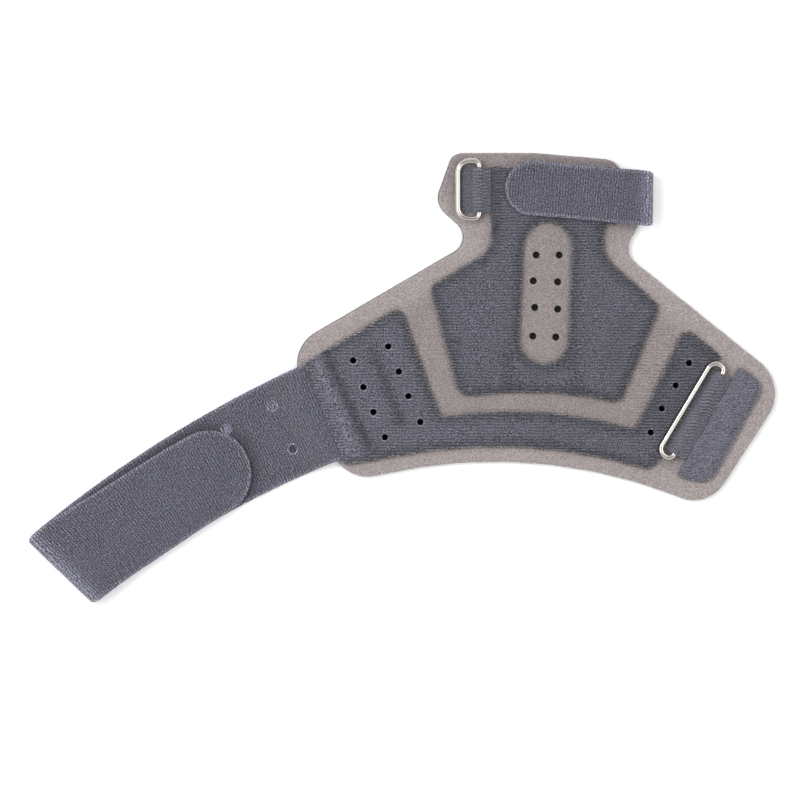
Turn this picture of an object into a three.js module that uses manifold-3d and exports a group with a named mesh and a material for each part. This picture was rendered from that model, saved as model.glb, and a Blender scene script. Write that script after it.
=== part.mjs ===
// A thumb spica splint, opened out and laid flat: a foam-backed suede pad with raised knit panels,
// two wire rings in sewn sleeves and two hook-and-loop straps that are folded back on themselves.
// Millimetres. +Z is up, +Y runs from the wrist to the thumb, and the pad lies on the floor.
import * as THREE from 'three';
import { mergeVertices } from 'three/addons/utils/BufferGeometryUtils.js';
import Module from 'manifold-3d';

const wasm = await Module();
wasm.setup();

// Driving sizes of the pad and of what is laminated on it
const BODY_WIDTH = 208;
const BODY_LENGTH = 150;
const PAD_THICKNESS = 3.2;
const PAD_EDGE = 0.8;
const SEAM_GAP = 0.3;
const PANEL_HEIGHT = 2.6;
const PANEL_RIM = 0.9;
const PANEL_SLOPE = 3.2;
const PATCH_HEIGHT = 2.0;
const WINDOW_WIDTH = 21;
const WINDOW_HOLE = 3.0;
const BAND_HOLE = 2.7;

// Driving sizes of the wire rings and of the sleeves that hold them
const WIRE = 2.5;
const RING_CLEARANCE = 0.3;
const RING_INNER_BEND = 1.2;
const WRIST_RING_LENGTH = 48.6;
const WRIST_RING_SPAN = 6.5;
const WRIST_RING_BEND = 2.3;
const THUMB_RING_LENGTH = 27.6;
const THUMB_RING_SPAN = 9.2;
const THUMB_RING_BEND = 3.9;
const SLEEVE_WALL = 0.8;
const WRIST_SLEEVE_FOOT = 4.2;
const THUMB_SLEEVE_FOOT = 5.0;

// Driving sizes of the straps
const STRAP_THICKNESS = 2.0;
const ROOT_THICKNESS = 1.2;
const ROOT_DEPTH = 9;
const WRIST_STRAP_WIDTH = 40.5;
const WRIST_STRAP_LOWER = 140;
const WRIST_STRAP_UPPER = 92;
const WRIST_STRAP_HEADING = 201.5;
const WRIST_STRAP_TURN = 18;
const WRIST_FOLD_RADIUS = 2.3;
const WRIST_STRAP_DROP = 16;
const STRAP_HOLE = 3.0;
const THUMB_STRAP_WIDTH = 24.2;
const THUMB_STRAP_LOWER = 20.5;
const THUMB_STRAP_UPPER = 62;
const THUMB_STRAP_HEADING = -5.1;
const THUMB_FOLD_RADIUS = 2.6;

// Levels that follow from those sizes
const PAD_TOP = PAD_THICKNESS;
const PANEL_FLOOR = PAD_TOP + SEAM_GAP;
const PANEL_TOP = PANEL_FLOOR + PANEL_HEIGHT;
const SLEEVE_RADIUS = WIRE / 2 + RING_CLEARANCE + SLEEVE_WALL;
const RING_AXIS_Z = PANEL_FLOOR + SLEEVE_RADIUS;

// Outline corners as shares of the body's width and length, and corner radii as shares of its length.
// The wrist strap crosses the pad's edge between the corners of PAD_WRIST_EDGE.
const PAD_WRIST_EDGE = [
  { across: -0.397, along: -0.452, radius: 0.110 },
  { across: -0.517, along: -0.066, radius: 0.104 },
];
const PAD_CORNERS = [
  { across: -0.172, along: 0.501, radius: 0.041 },
  { across: -0.001, along: 0.501, radius: 0.290 },
  { across: 0.160, along: 0.482, radius: 0.041 },
  { across: 0.239, along: 0.351, radius: 0.064 },
  { across: 0.183, along: 0.212, radius: 0.052 },
  { across: 0.528, along: -0.171, radius: 0.116 },
  { across: 0.360, along: -0.527, radius: 0.104 },
  { across: 0.000, along: -0.337, radius: 1.450 },
  ...PAD_WRIST_EDGE,
  { across: -0.126, along: 0.250, radius: 0.049 },
  { across: -0.210, along: 0.353, radius: 0.061 },
];
const THUMB_PANEL_CORNERS = [
  { across: -0.094, along: 0.462, radius: 0.009 },
  { across: 0.175, along: 0.462, radius: 0.014 },
  { across: 0.175, along: 0.293, radius: 0.014 },
  { across: 0.143, along: 0.293, radius: 0.023 },
  { across: 0.143, along: 0.204, radius: 0.070 },
  { across: 0.260, along: 0.058, radius: 0.023 },
  { across: 0.176, along: -0.225, radius: 0.032 },
  { across: 0.010, along: -0.178, radius: 1.160 },
  { across: -0.159, along: -0.208, radius: 0.041 },
  { across: -0.222, along: 0.116, radius: 0.029 },
  { across: -0.094, along: 0.222, radius: 0.064 },
];
const BAND_CORNERS = [
  { across: -0.282, along: 0.061, radius: 0.026 },
  { across: -0.199, along: -0.262, radius: 0.026 },
  { across: 0.010, along: -0.229, radius: 1.218 },
  { across: 0.208, along: -0.297, radius: 0.023 },
  { across: 0.312, along: 0.000, radius: 0.026 },
  { across: 0.388, along: -0.088, radius: 0.012 },
  { across: 0.250, along: -0.404, radius: 0.012 },
  { across: 0.233, along: -0.417, radius: 0.012 },
  { across: -0.016, along: -0.313, radius: 1.508 },
  { across: -0.398, along: -0.405, radius: 0.017 },
  { across: -0.486, along: -0.110, radius: 0.017 },
];
const PATCH_CORNERS = [
  { across: 0.4265, along: -0.117, radius: 0.012 },
  { across: 0.480, along: -0.168, radius: 0.044 },
  { across: 0.362, along: -0.465, radius: 0.052 },
  { across: 0.295, along: -0.4345, radius: 0.009 },
];

// The window in the thumb panel: the centres of its two round ends, as shares of the body
const WINDOW_ENDS = [
  { across: 0.025, along: 0.228 },
  { across: 0.017, along: -0.038 },
];

// Ventilation holes as shares of the body: the pairs in the window, then those in the wrist band
const WINDOW_HOLES = [
  { across: 0.001, along: 0.206 },
  { across: 0.049, along: 0.206 },
  { across: -0.005, along: 0.131 },
  { across: 0.046, along: 0.128 },
  { across: -0.002, along: 0.054 },
  { across: 0.046, along: 0.049 },
  { across: -0.006, along: -0.029 },
  { across: 0.042, along: -0.032 },
];
const BAND_HOLES = [
  { across: -0.381, along: -0.100 },
  { across: -0.360, along: -0.177 },
  { across: -0.339, along: -0.249 },
  { across: -0.315, along: -0.322 },
  { across: -0.308, along: -0.059 },
  { across: -0.286, along: -0.132 },
  { across: -0.266, along: -0.203 },
  { across: -0.241, along: -0.278 },
  { across: 0.320, along: -0.107 },
  { across: 0.292, along: -0.172 },
  { across: 0.263, along: -0.239 },
  { across: 0.240, along: -0.308 },
];

// Soft grooves pressed into the panels, and the raised roll over the wrist strap's root:
// ends as shares of the body, width as a share of its length, depth as a share of the panel's height
const BAND_GROOVES = [
  {
    from: { across: -0.447, along: -0.057 },
    to: { across: -0.342, along: -0.365 },
    width: 0.055,
    depth: 0.34,
  },
  {
    from: { across: -0.344, along: -0.057 },
    to: { across: -0.277, along: -0.295 },
    width: 0.060,
    depth: 0.30,
  },
];
const THUMB_PANEL_GROOVES = [
  {
    from: { across: -0.055, along: -0.098 },
    to: { across: -0.055, along: -0.205 },
    width: 0.040,
    depth: 0.16,
  },
  {
    from: { across: 0.083, along: -0.098 },
    to: { across: 0.086, along: -0.205 },
    width: 0.040,
    depth: 0.16,
  },
];
const ROOT_ROLL = {
  from: { across: -0.457, along: -0.098 },
  to: { across: -0.378, along: -0.379 },
  width: 0.072,
  height: 0.50,
};

// Bars of the rings that the sleeves hold: the two ends of each sleeve's line, as shares of the body
const WRIST_SLEEVE_LINE = [
  { across: 0.2866, along: -0.3767 },
  { across: 0.3917, along: -0.1330 },
];
const THUMB_SLEEVE_LINE = [
  { across: -0.118, along: 0.324 },
  { across: -0.118, along: 0.464 },
];

// Where each strap's root is sewn in, as shares of the body
const WRIST_STRAP_ROOT = { across: -0.400, along: -0.223 };
const THUMB_STRAP_ROOT = { across: 0.135, along: 0.381 };

// Strap width along its run, as shares: first of the lower layer's length, then of the upper layer's
const WRIST_STRAP_WIDTHS = [
  { run: 0.00, width: 1.11 },
  { run: 0.35, width: 1.05 },
  { run: 0.70, width: 1.01 },
  { run: 1.00, width: 1.00 },
  { run: 1.50, width: 0.94 },
  { run: 2.00, width: 0.91 },
];
const THUMB_STRAP_WIDTHS = [
  { run: 0.00, width: 0.86 },
  { run: 0.50, width: 0.90 },
  { run: 1.00, width: 0.99 },
  { run: 2.00, width: 1.00 },
];
const STRAP_HOLES = [
  { run: 0.205, side: -0.254 },
  { run: 0.205, side: 0.254 },
  { run: 0.360, side: -0.254 },
  { run: 0.360, side: 0.254 },
];

// How each strap's free layer comes down from the fold, as shares of that layer's length
const WRIST_FLAP_SETTLES = { from: 0.00, to: 0.35 };
const THUMB_FLAP_SETTLES = { from: 0.25, to: 0.85 };

// The cushion's slope, as shares of its width and of its rise
const CUSHION_SHOULDER = { inset: 0.35, rise: 0.6 };

// How finely round shapes are divided
const CHORD_ERROR = 0.12;
const COARSEST_STEP = Math.PI / 8;
const SMALLEST_RADIUS = 0.2;
const SLOT_END_STEPS = 12;
const BAR_SIDES = 28;
const HOLE_SIDES = 12;
const WIRE_SIDES = 10;
const BEND_STEPS = 5;
const BORE_STEPS = 7;
const FOLD_STEPS = 8;
const TIP_STEPS = 9;
const STRAP_STATION = 6;

// How far a cutting tool reaches past what it cuts
const CUT_MARGIN = 2;

const materials = {
  suede: new THREE.MeshStandardMaterial({ color: 0x968e8c, roughness: 0.95, metalness: 0 }),
  knit: new THREE.MeshStandardMaterial({ color: 0x64646c, roughness: 0.9, metalness: 0 }),
  webbing: new THREE.MeshStandardMaterial({ color: 0x66666f, roughness: 0.9, metalness: 0 }),
  nickel: new THREE.MeshStandardMaterial({ color: 0xcfccc6, roughness: 0.2, metalness: 1 }),
};

// A share of the body's size as a point in millimetres
function onBody(share) {
  return new THREE.Vector2(share.across * BODY_WIDTH, share.along * BODY_LENGTH);
}

function smooth(value, from, to) {
  return THREE.MathUtils.smoothstep(value, from, to);
}

// Points of an outline with round corners, counter-clockwise. Every edge moves inward by the inset,
// and each corner keeps its arc centre, so all insets of one outline have the same number of points.
function roundedOutline(corners, inset = 0) {
  let nodes = corners.map((corner) => ({ at: onBody(corner), radius: corner.radius * BODY_LENGTH }));
  if (THREE.ShapeUtils.isClockWise(nodes.map((node) => node.at))) nodes = nodes.reverse();
  const count = nodes.length;
  const edges = nodes.map((node, i) => {
    const along = nodes[(i + 1) % count].at.clone().sub(node.at);
    return { length: along.length(), along: along.normalize() };
  });
  const turns = nodes.map((node, i) => {
    const before = edges[(i + count - 1) % count].along;
    return Math.atan2(before.cross(edges[i].along), before.dot(edges[i].along));
  });
  const tangents = nodes.map((node, i) => node.radius * Math.abs(Math.tan(turns[i] / 2)));
  const points = [];
  nodes.forEach((node, i) => {
    const before = (i + count - 1) % count;
    const after = (i + 1) % count;
    const room = Math.min(
      1,
      edges[before].length / (tangents[before] + tangents[i]),
      edges[i].length / (tangents[i] + tangents[after]),
    );
    const radius = node.radius * room;
    const inward = new THREE.Vector2(-edges[before].along.y, edges[before].along.x);
    const side = Math.sign(turns[i]);
    const toCentre = radius * side;
    const slide = -Math.tan(turns[i] / 2) * toCentre;
    const centre = node.at.clone();
    centre.addScaledVector(inward, toCentre).addScaledVector(edges[before].along, slide);
    const drawn = Math.max(radius - side * inset, SMALLEST_RADIUS);
    const lost = drawn - (radius - side * inset);
    const bisector = inward.clone().rotateAround(new THREE.Vector2(), turns[i] / 2);
    centre.addScaledVector(bisector, (side * lost) / Math.cos(turns[i] / 2));
    const step = Math.min(2 * Math.acos(1 - Math.min(CHORD_ERROR / radius, 0.5)), COARSEST_STEP);
    const steps = Math.max(2, Math.ceil(Math.abs(turns[i]) / step));
    for (let k = 0; k <= steps; k += 1) {
      const spoke = inward.clone().rotateAround(new THREE.Vector2(), (turns[i] * k) / steps);
      points.push(centre.clone().addScaledVector(spoke, -side * drawn));
    }
  });
  return points;
}

// Points of a slot with two round ends, counter-clockwise
function slotOutline(ends, width) {
  const [a, b] = ends.map(onBody);
  const heading = Math.atan2(b.y - a.y, b.x - a.x);
  const points = [];
  [{ at: b, start: heading - Math.PI / 2 }, { at: a, start: heading + Math.PI / 2 }].forEach((end) => {
    for (let k = 0; k <= SLOT_END_STEPS; k += 1) {
      const angle = end.start + (Math.PI * k) / SLOT_END_STEPS;
      const spoke = new THREE.Vector2(Math.cos(angle), Math.sin(angle));
      points.push(end.at.clone().addScaledVector(spoke, width / 2));
    }
  });
  return points;
}

// Triangles are given as one list of corner points, three to a triangle
function geometryFromTriangles(corners) {
  const geometry = new THREE.BufferGeometry();
  const places = corners.flatMap((corner) => corner.toArray());
  geometry.setAttribute('position', new THREE.Float32BufferAttribute(places, 3));
  return geometry;
}

// A closed solid through loops of equal length, from the lowest to the highest, with flat ends.
// A window is a second stack of loops that is left open all the way through.
function layeredSolid(levels, outlineAt, windowAt) {
  const triangles = [];
  const stack = (loopAt) => levels.map((level) => (
    loopAt(level.inset).map((p) => new THREE.Vector3(p.x, p.y, level.z))
  ));
  const outer = stack(outlineAt);
  const inner = windowAt ? stack(windowAt) : null;
  const addWalls = (loops, outward) => {
    for (let k = 0; k + 1 < loops.length; k += 1) {
      loops[k].forEach((point, i) => {
        const j = (i + 1) % loops[k].length;
        const quad = [point, loops[k][j], loops[k + 1][j], loops[k + 1][i]];
        if (!outward) quad.reverse();
        triangles.push(quad[0], quad[1], quad[2], quad[0], quad[2], quad[3]);
      });
    }
  };
  const addCap = (k, upward) => {
    const flat = (loop) => loop.map((p) => new THREE.Vector2(p.x, p.y));
    const holes = inner ? [inner[k].slice().reverse()] : [];
    const all = [outer[k], ...holes].flat();
    THREE.ShapeUtils.triangulateShape(flat(outer[k]), holes.map(flat)).forEach((face) => {
      const corners = face.map((index) => all[index]);
      if (!upward) corners.reverse();
      triangles.push(...corners);
    });
  };
  addWalls(outer, true);
  if (inner) addWalls(inner, false);
  addCap(0, false);
  addCap(levels.length - 1, true);
  return geometryFromTriangles(triangles);
}

// A closed solid lofted through rings of corners; a ring path that closes has no ends
function loft(rings, closed) {
  const triangles = [];
  const last = closed ? rings.length : rings.length - 1;
  for (let k = 0; k < last; k += 1) {
    const here = rings[k];
    const next = rings[(k + 1) % rings.length];
    here.forEach((point, i) => {
      const j = (i + 1) % here.length;
      triangles.push(point, here[j], next[j], point, next[j], next[i]);
    });
  }
  if (!closed) {
    const start = rings[0];
    const end = rings[rings.length - 1];
    for (let i = 1; i + 1 < start.length; i += 1) {
      triangles.push(start[0], start[i + 1], start[i]);
      triangles.push(end[0], end[i], end[i + 1]);
    }
  }
  return geometryFromTriangles(triangles);
}

function toSolid(geometry, place = new THREE.Matrix4()) {
  const bare = new THREE.BufferGeometry();
  const source = geometry.index ? geometry.toNonIndexed() : geometry;
  bare.setAttribute('position', source.getAttribute('position').clone());
  bare.applyMatrix4(place);
  const merged = mergeVertices(bare, 1e-4);
  return new wasm.Manifold(new wasm.Mesh({
    numProp: 3,
    vertProperties: new Float32Array(merged.getAttribute('position').array),
    triVerts: new Uint32Array(merged.index.array),
  }));
}

function toGeometry(solid) {
  const mesh = solid.getMesh();
  const geometry = new THREE.BufferGeometry();
  geometry.setAttribute('position', new THREE.BufferAttribute(new Float32Array(mesh.vertProperties), 3));
  geometry.setIndex(new THREE.BufferAttribute(new Uint32Array(mesh.triVerts), 1));
  return geometry;
}

function cutAll(solid, tools) {
  return tools.reduce((rest, tool) => rest.subtract(tool), solid);
}

// An upright round tool through the pad and all that lies on it
function holeTool(at, diameter, low, high) {
  const geometry = new THREE.CylinderGeometry(diameter / 2, diameter / 2, high - low, HOLE_SIDES);
  geometry.rotateX(Math.PI / 2);
  geometry.translate(at.x, at.y, (low + high) / 2);
  return toSolid(geometry);
}

// A lying round bar whose segment above or below a level has the stated width and rise
function lyingBar(line, width, rise, level, above) {
  const from = onBody(line.from);
  const to = onBody(line.to);
  const radius = (width * width / 4 + rise * rise) / (2 * rise);
  const along = to.clone().sub(from);
  const start = Math.PI / BAR_SIDES;
  const geometry = new THREE.CylinderGeometry(radius, radius, along.length(), BAR_SIDES, 1, false, start);
  geometry.rotateZ(Math.atan2(along.y, along.x) - Math.PI / 2);
  const middle = from.add(to).multiplyScalar(0.5);
  geometry.translate(middle.x, middle.y, above ? level + rise - radius : level - rise + radius);
  return toSolid(geometry);
}

// Levels of a raised cushion panel, from its glued face to its flat top
function cushionLevels(height) {
  const rim = PANEL_FLOOR + PANEL_RIM;
  return [
    { inset: 0, z: PANEL_FLOOR },
    { inset: 0, z: rim },
    { inset: PANEL_SLOPE * CUSHION_SHOULDER.inset, z: rim + (height - PANEL_RIM) * CUSHION_SHOULDER.rise },
    { inset: PANEL_SLOPE, z: PANEL_FLOOR + height },
  ];
}

// The place of a sleeve and its ring: the bar runs along local Y, and the ring's free bar is at -X
function sleevePlace(line) {
  const [low, high] = line.map(onBody);
  const along = high.clone().sub(low);
  const middle = low.add(high).multiplyScalar(0.5);
  const place = new THREE.Matrix4().makeRotationZ(Math.atan2(along.y, along.x) - Math.PI / 2);
  return place.setPosition(middle.x, middle.y, RING_AXIS_Z);
}

// A wire ring: a rectangle of round wire with tight bends beside the sleeve and wide ones at the free bar
function ringGeometry(ring, extra = 0) {
  const tight = WIRE / 2 + RING_INNER_BEND;
  const wide = WIRE / 2 + ring.bend;
  const half = (ring.length - WIRE) / 2;
  const bends = [
    { x: -tight, y: -half + tight, radius: tight, start: -Math.PI / 2 },
    { x: -tight, y: half - tight, radius: tight, start: 0 },
    { x: -ring.span + wide, y: half - wide, radius: wide, start: Math.PI / 2 },
    { x: -ring.span + wide, y: -half + wide, radius: wide, start: Math.PI },
  ];
  const rings = [];
  bends.forEach((bend) => {
    for (let k = 0; k <= BEND_STEPS; k += 1) {
      const angle = bend.start + (Math.PI / 2) * (k / BEND_STEPS);
      const outward = new THREE.Vector3(Math.cos(angle), Math.sin(angle), 0);
      const centre = new THREE.Vector3(bend.x, bend.y, 0).addScaledVector(outward, bend.radius);
      const section = [];
      for (let s = 0; s < WIRE_SIDES; s += 1) {
        const turn = (2 * Math.PI * s) / WIRE_SIDES;
        const reach = WIRE / 2 + extra;
        const corner = centre.clone().addScaledVector(outward, reach * Math.cos(turn));
        corner.z = -reach * Math.sin(turn);
        section.push(corner);
      }
      rings.push(section);
    }
  });
  return loft(rings, true);
}

// The straight length between a ring's tight bends, which its sleeve fills but for the clearance
function sleeveLength(ring) {
  return ring.length - 2 * (WIRE + RING_INNER_BEND) - 2 * RING_CLEARANCE;
}

// A sleeve: a round hump over the hidden bar with a bore for it, a flat foot on the side of the free bar,
// and on the other side a slope that leaves the hump on a tangent and ends at the next panel
function sleeveGeometry(ring) {
  const reach = ring.span - WIRE / 2 - RING_CLEARANCE;
  const footTop = -SLEEVE_RADIUS + SLEEVE_WALL;
  const entry = Math.asin(footTop / SLEEVE_RADIUS);
  const slopeReach = Math.hypot(ring.foot, footTop);
  const leave = Math.atan2(footTop, ring.foot) + Math.acos(SLEEVE_RADIUS / slopeReach);
  const shape = new THREE.Shape();
  shape.moveTo(-reach, -SLEEVE_RADIUS);
  shape.lineTo(ring.foot, -SLEEVE_RADIUS);
  shape.lineTo(ring.foot, footTop);
  shape.absarc(0, 0, SLEEVE_RADIUS, leave, Math.PI - entry, false);
  shape.lineTo(-reach, footTop);
  const bore = new THREE.Path();
  bore.absarc(0, 0, WIRE / 2 + RING_CLEARANCE, 0, 2 * Math.PI, true);
  shape.holes.push(bore);
  const length = sleeveLength(ring);
  const options = { depth: length, bevelEnabled: false, curveSegments: BORE_STEPS };
  const geometry = new THREE.ExtrudeGeometry(shape, options);
  geometry.translate(0, 0, -length / 2);
  geometry.rotateX(Math.PI / 2);
  return geometry;
}

// The room that a sleeve and its ring keep free in the panels beside them
function sleeveRoom(ring, place) {
  const reach = ring.span - WIRE / 2 - RING_CLEARANCE;
  const wide = reach + ring.foot + 2 * SEAM_GAP;
  const height = 4 * SLEEVE_RADIUS;
  const box = new THREE.BoxGeometry(wide, ring.length + 2 * SEAM_GAP, height);
  box.translate((ring.foot - reach) / 2, 0, 0);
  return [toSolid(box, place), toSolid(ringGeometry(ring, RING_CLEARANCE), place)];
}

function widthAt(table, run) {
  const after = Math.max(1, table.findIndex((row) => row.run >= run));
  const [a, b] = [table[after - 1], table[after]];
  return THREE.MathUtils.lerp(a.width, b.width, (run - a.run) / (b.run - a.run));
}

// The plan of a strap's middle line: an arc from its root, with its heading there and its turn in degrees
function strapPlan(strap, distance) {
  const start = THREE.MathUtils.degToRad(strap.heading);
  const bend = THREE.MathUtils.degToRad(strap.turn) / strap.lower;
  const heading = start + bend * distance;
  const middle = start + (bend * distance) / 2;
  const half = (bend * distance) / 2;
  const chord = half === 0 ? distance : (distance * Math.sin(half)) / half;
  const at = onBody(strap.root);
  at.addScaledVector(new THREE.Vector2(Math.cos(middle), Math.sin(middle)), chord);
  return { at, heading };
}

// Stations along a folded strap: out from the root, round the fold, and back over itself to the tip
function strapStations(strap) {
  const stations = [];
  const lowerSteps = Math.ceil(strap.lower / STRAP_STATION);
  for (let k = 0; k <= lowerSteps; k += 1) {
    const distance = (strap.lower * k) / lowerSteps;
    const full = smooth(distance, ROOT_DEPTH / 2, ROOT_DEPTH * 1.5);
    const thickness = THREE.MathUtils.lerp(ROOT_THICKNESS, STRAP_THICKNESS, full);
    stations.push({
      distance,
      z: strap.lowerLevel(distance) + thickness / 2,
      thickness,
      run: distance / strap.lower,
    });
  }
  const base = stations[stations.length - 1].z;
  for (let k = 1; k < FOLD_STEPS; k += 1) {
    const angle = (Math.PI * k) / FOLD_STEPS;
    stations.push({
      distance: strap.lower + strap.foldRadius * Math.sin(angle),
      z: base + strap.foldRadius * (1 - Math.cos(angle)),
      thickness: STRAP_THICKNESS,
      run: 1,
    });
  }
  const tipRadius = (strap.width * widthAt(strap.widths, 2)) / 2;
  const straight = strap.upper - tipRadius;
  const upperSteps = Math.ceil(straight / STRAP_STATION);
  for (let k = 0; k <= upperSteps; k += 1) {
    const back = (straight * k) / upperSteps;
    stations.push({ back, run: 1 + back / strap.upper });
  }
  for (let k = 1; k <= TIP_STEPS; k += 1) {
    const angle = (Math.PI / 2) * (k / (TIP_STEPS + 0.5));
    const back = straight + tipRadius * Math.sin(angle);
    stations.push({ back, run: 2, tip: Math.cos(angle) });
  }
  stations.filter((station) => station.back !== undefined).forEach((station) => {
    station.distance = strap.lower - station.back;
    station.z = strap.upperLevel(station.back / strap.upper) + STRAP_THICKNESS / 2;
    station.thickness = STRAP_THICKNESS;
  });
  return stations;
}

// A flat ribbon through the stations, its section turned with the path; extra adds room on all sides
function strapGeometry(strap, extra = 0) {
  const stations = strapStations(strap);
  const points = stations.map((station) => {
    const { at } = strapPlan(strap, station.distance);
    return new THREE.Vector3(at.x, at.y, station.z);
  });
  const rings = stations.map((station, i) => {
    const { heading } = strapPlan(strap, station.distance);
    const side = new THREE.Vector3(-Math.sin(heading), Math.cos(heading), 0);
    const along = points[Math.min(i + 1, points.length - 1)].clone().sub(points[Math.max(i - 1, 0)]);
    const up = along.addScaledVector(side, -along.dot(side)).normalize().cross(side);
    const width = strap.width * widthAt(strap.widths, station.run) * (station.tip ?? 1);
    const half = width / 2 + extra;
    const rise = station.thickness / 2 + extra;
    const centre = points[i].clone();
    if (i === 0) centre.addScaledVector(along.crossVectors(side, up), -extra);
    return [[-1, -1], [1, -1], [1, 1], [-1, 1]].map(([a, b]) => (
      centre.clone().addScaledVector(side, a * half).addScaledVector(up, b * rise)
    ));
  });
  return loft(rings, false);
}

const wristRing = {
  length: WRIST_RING_LENGTH,
  span: WRIST_RING_SPAN,
  bend: WRIST_RING_BEND,
  foot: WRIST_SLEEVE_FOOT,
};
const thumbRing = {
  length: THUMB_RING_LENGTH,
  span: THUMB_RING_SPAN,
  bend: THUMB_RING_BEND,
  foot: THUMB_SLEEVE_FOOT,
};
const wristPlace = sleevePlace(WRIST_SLEEVE_LINE);
const thumbPlace = sleevePlace(THUMB_SLEEVE_LINE);

// How far a straight line from a point at a heading runs before it crosses the line from a to b
function runToLine(from, heading, a, b) {
  const along = new THREE.Vector2(Math.cos(heading), Math.sin(heading));
  const edge = b.clone().sub(a);
  return a.clone().sub(from).cross(edge) / along.cross(edge);
}

// The wrist strap leaves its pocket on the pad, comes down past the pad's edge and lies on the floor
const wristStrap = {
  root: WRIST_STRAP_ROOT,
  heading: WRIST_STRAP_HEADING,
  turn: WRIST_STRAP_TURN,
  lower: WRIST_STRAP_LOWER,
  upper: WRIST_STRAP_UPPER,
  width: WRIST_STRAP_WIDTH,
  widths: WRIST_STRAP_WIDTHS,
  foldRadius: WRIST_FOLD_RADIUS,
  lowerLevel: (distance) => {
    const heading = THREE.MathUtils.degToRad(WRIST_STRAP_HEADING);
    const [low, high] = PAD_WRIST_EDGE.map(onBody);
    const offPad = runToLine(onBody(WRIST_STRAP_ROOT), heading, low, high);
    return PANEL_FLOOR * (1 - smooth(distance, offPad, offPad + WRIST_STRAP_DROP));
  },
  upperLevel: (share) => {
    const down = smooth(share, WRIST_FLAP_SETTLES.from, WRIST_FLAP_SETTLES.to);
    return THREE.MathUtils.lerp(2 * WRIST_FOLD_RADIUS, STRAP_THICKNESS + SEAM_GAP, down);
  },
};

// The thumb strap leaves the panel's edge, folds just past the pad's edge and comes back over the panel
const thumbStrap = {
  root: THUMB_STRAP_ROOT,
  heading: THUMB_STRAP_HEADING,
  turn: 0,
  lower: THUMB_STRAP_LOWER,
  upper: THUMB_STRAP_UPPER,
  width: THUMB_STRAP_WIDTH,
  widths: THUMB_STRAP_WIDTHS,
  foldRadius: THUMB_FOLD_RADIUS,
  lowerLevel: () => PANEL_FLOOR,
  upperLevel: (share) => {
    const top = PANEL_FLOOR + 2 * THUMB_FOLD_RADIUS;
    const down = smooth(share, THUMB_FLAP_SETTLES.from, THUMB_FLAP_SETTLES.to);
    return THREE.MathUtils.lerp(top, PANEL_TOP + SEAM_GAP, down);
  },
};

function buildPad() {
  const levels = [
    { inset: PAD_EDGE * 0.6, z: 0 },
    { inset: 0, z: PAD_EDGE * 0.6 },
    { inset: 0, z: PAD_TOP - PAD_EDGE },
    { inset: PAD_EDGE, z: PAD_TOP },
  ];
  const pad = toSolid(layeredSolid(levels, (inset) => roundedOutline(PAD_CORNERS, inset)));
  const low = -CUT_MARGIN;
  const high = PAD_TOP + CUT_MARGIN;
  const window = WINDOW_HOLES.map((share) => holeTool(onBody(share), WINDOW_HOLE, low, high));
  const band = BAND_HOLES.map((share) => holeTool(onBody(share), BAND_HOLE, low, high));
  return toGeometry(cutAll(pad, [...window, ...band]));
}

function grooveTools(grooves) {
  return grooves.map((groove) => (
    lyingBar(groove, groove.width * BODY_LENGTH, groove.depth * PANEL_HEIGHT, PANEL_TOP, false)
  ));
}

function buildThumbPanel() {
  const outlineAt = (inset) => roundedOutline(THUMB_PANEL_CORNERS, inset);
  const windowAt = (inset) => slotOutline(WINDOW_ENDS, WINDOW_WIDTH + inset);
  const panel = toSolid(layeredSolid(cushionLevels(PANEL_HEIGHT), outlineAt, windowAt));
  const strapRoom = toSolid(strapGeometry(thumbStrap, SEAM_GAP));
  return toGeometry(cutAll(panel, [
    ...grooveTools(THUMB_PANEL_GROOVES),
    ...sleeveRoom(thumbRing, thumbPlace),
    strapRoom,
  ]));
}

function buildWristBand() {
  const outlineAt = (inset) => roundedOutline(BAND_CORNERS, inset);
  let band = toSolid(layeredSolid(cushionLevels(PANEL_HEIGHT), outlineAt));
  const rise = ROOT_ROLL.height * PANEL_HEIGHT;
  const roll = lyingBar(ROOT_ROLL, ROOT_ROLL.width * BODY_LENGTH, rise, PANEL_TOP, true);
  const bounds = [
    { inset: PANEL_RIM, z: PANEL_FLOOR + PANEL_RIM },
    { inset: PANEL_RIM, z: PANEL_TOP + 2 * rise },
  ];
  band = band.add(roll.intersect(toSolid(layeredSolid(bounds, outlineAt))));
  const holes = BAND_HOLES.map((share) => (
    holeTool(onBody(share), BAND_HOLE, PAD_TOP - CUT_MARGIN, PANEL_TOP + 2 * CUT_MARGIN)
  ));
  return toGeometry(cutAll(band, [
    ...grooveTools(BAND_GROOVES),
    ...holes,
    ...sleeveRoom(wristRing, wristPlace),
    toSolid(strapGeometry(wristStrap, SEAM_GAP)),
  ]));
}

function buildEndPatch() {
  const outlineAt = (inset) => roundedOutline(PATCH_CORNERS, inset);
  const patch = toSolid(layeredSolid(cushionLevels(PATCH_HEIGHT), outlineAt));
  return toGeometry(cutAll(patch, sleeveRoom(wristRing, wristPlace)));
}

function buildWristStrap() {
  const strap = toSolid(strapGeometry(wristStrap));
  const holes = STRAP_HOLES.map((hole) => {
    const { at, heading } = strapPlan(wristStrap, hole.run * wristStrap.lower);
    const side = new THREE.Vector2(-Math.sin(heading), Math.cos(heading));
    at.addScaledVector(side, hole.side * wristStrap.width);
    const level = wristStrap.lowerLevel(hole.run * wristStrap.lower);
    return holeTool(at, STRAP_HOLE, level - CUT_MARGIN, level + STRAP_THICKNESS + SEAM_GAP / 2);
  });
  return toGeometry(cutAll(strap, holes));
}

function buildThumbStrap() {
  return strapGeometry(thumbStrap);
}

function addMesh(parent, name, geometry, material) {
  const mesh = new THREE.Mesh(geometry, material.clone());
  mesh.name = name;
  parent.add(mesh);
}

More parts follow.
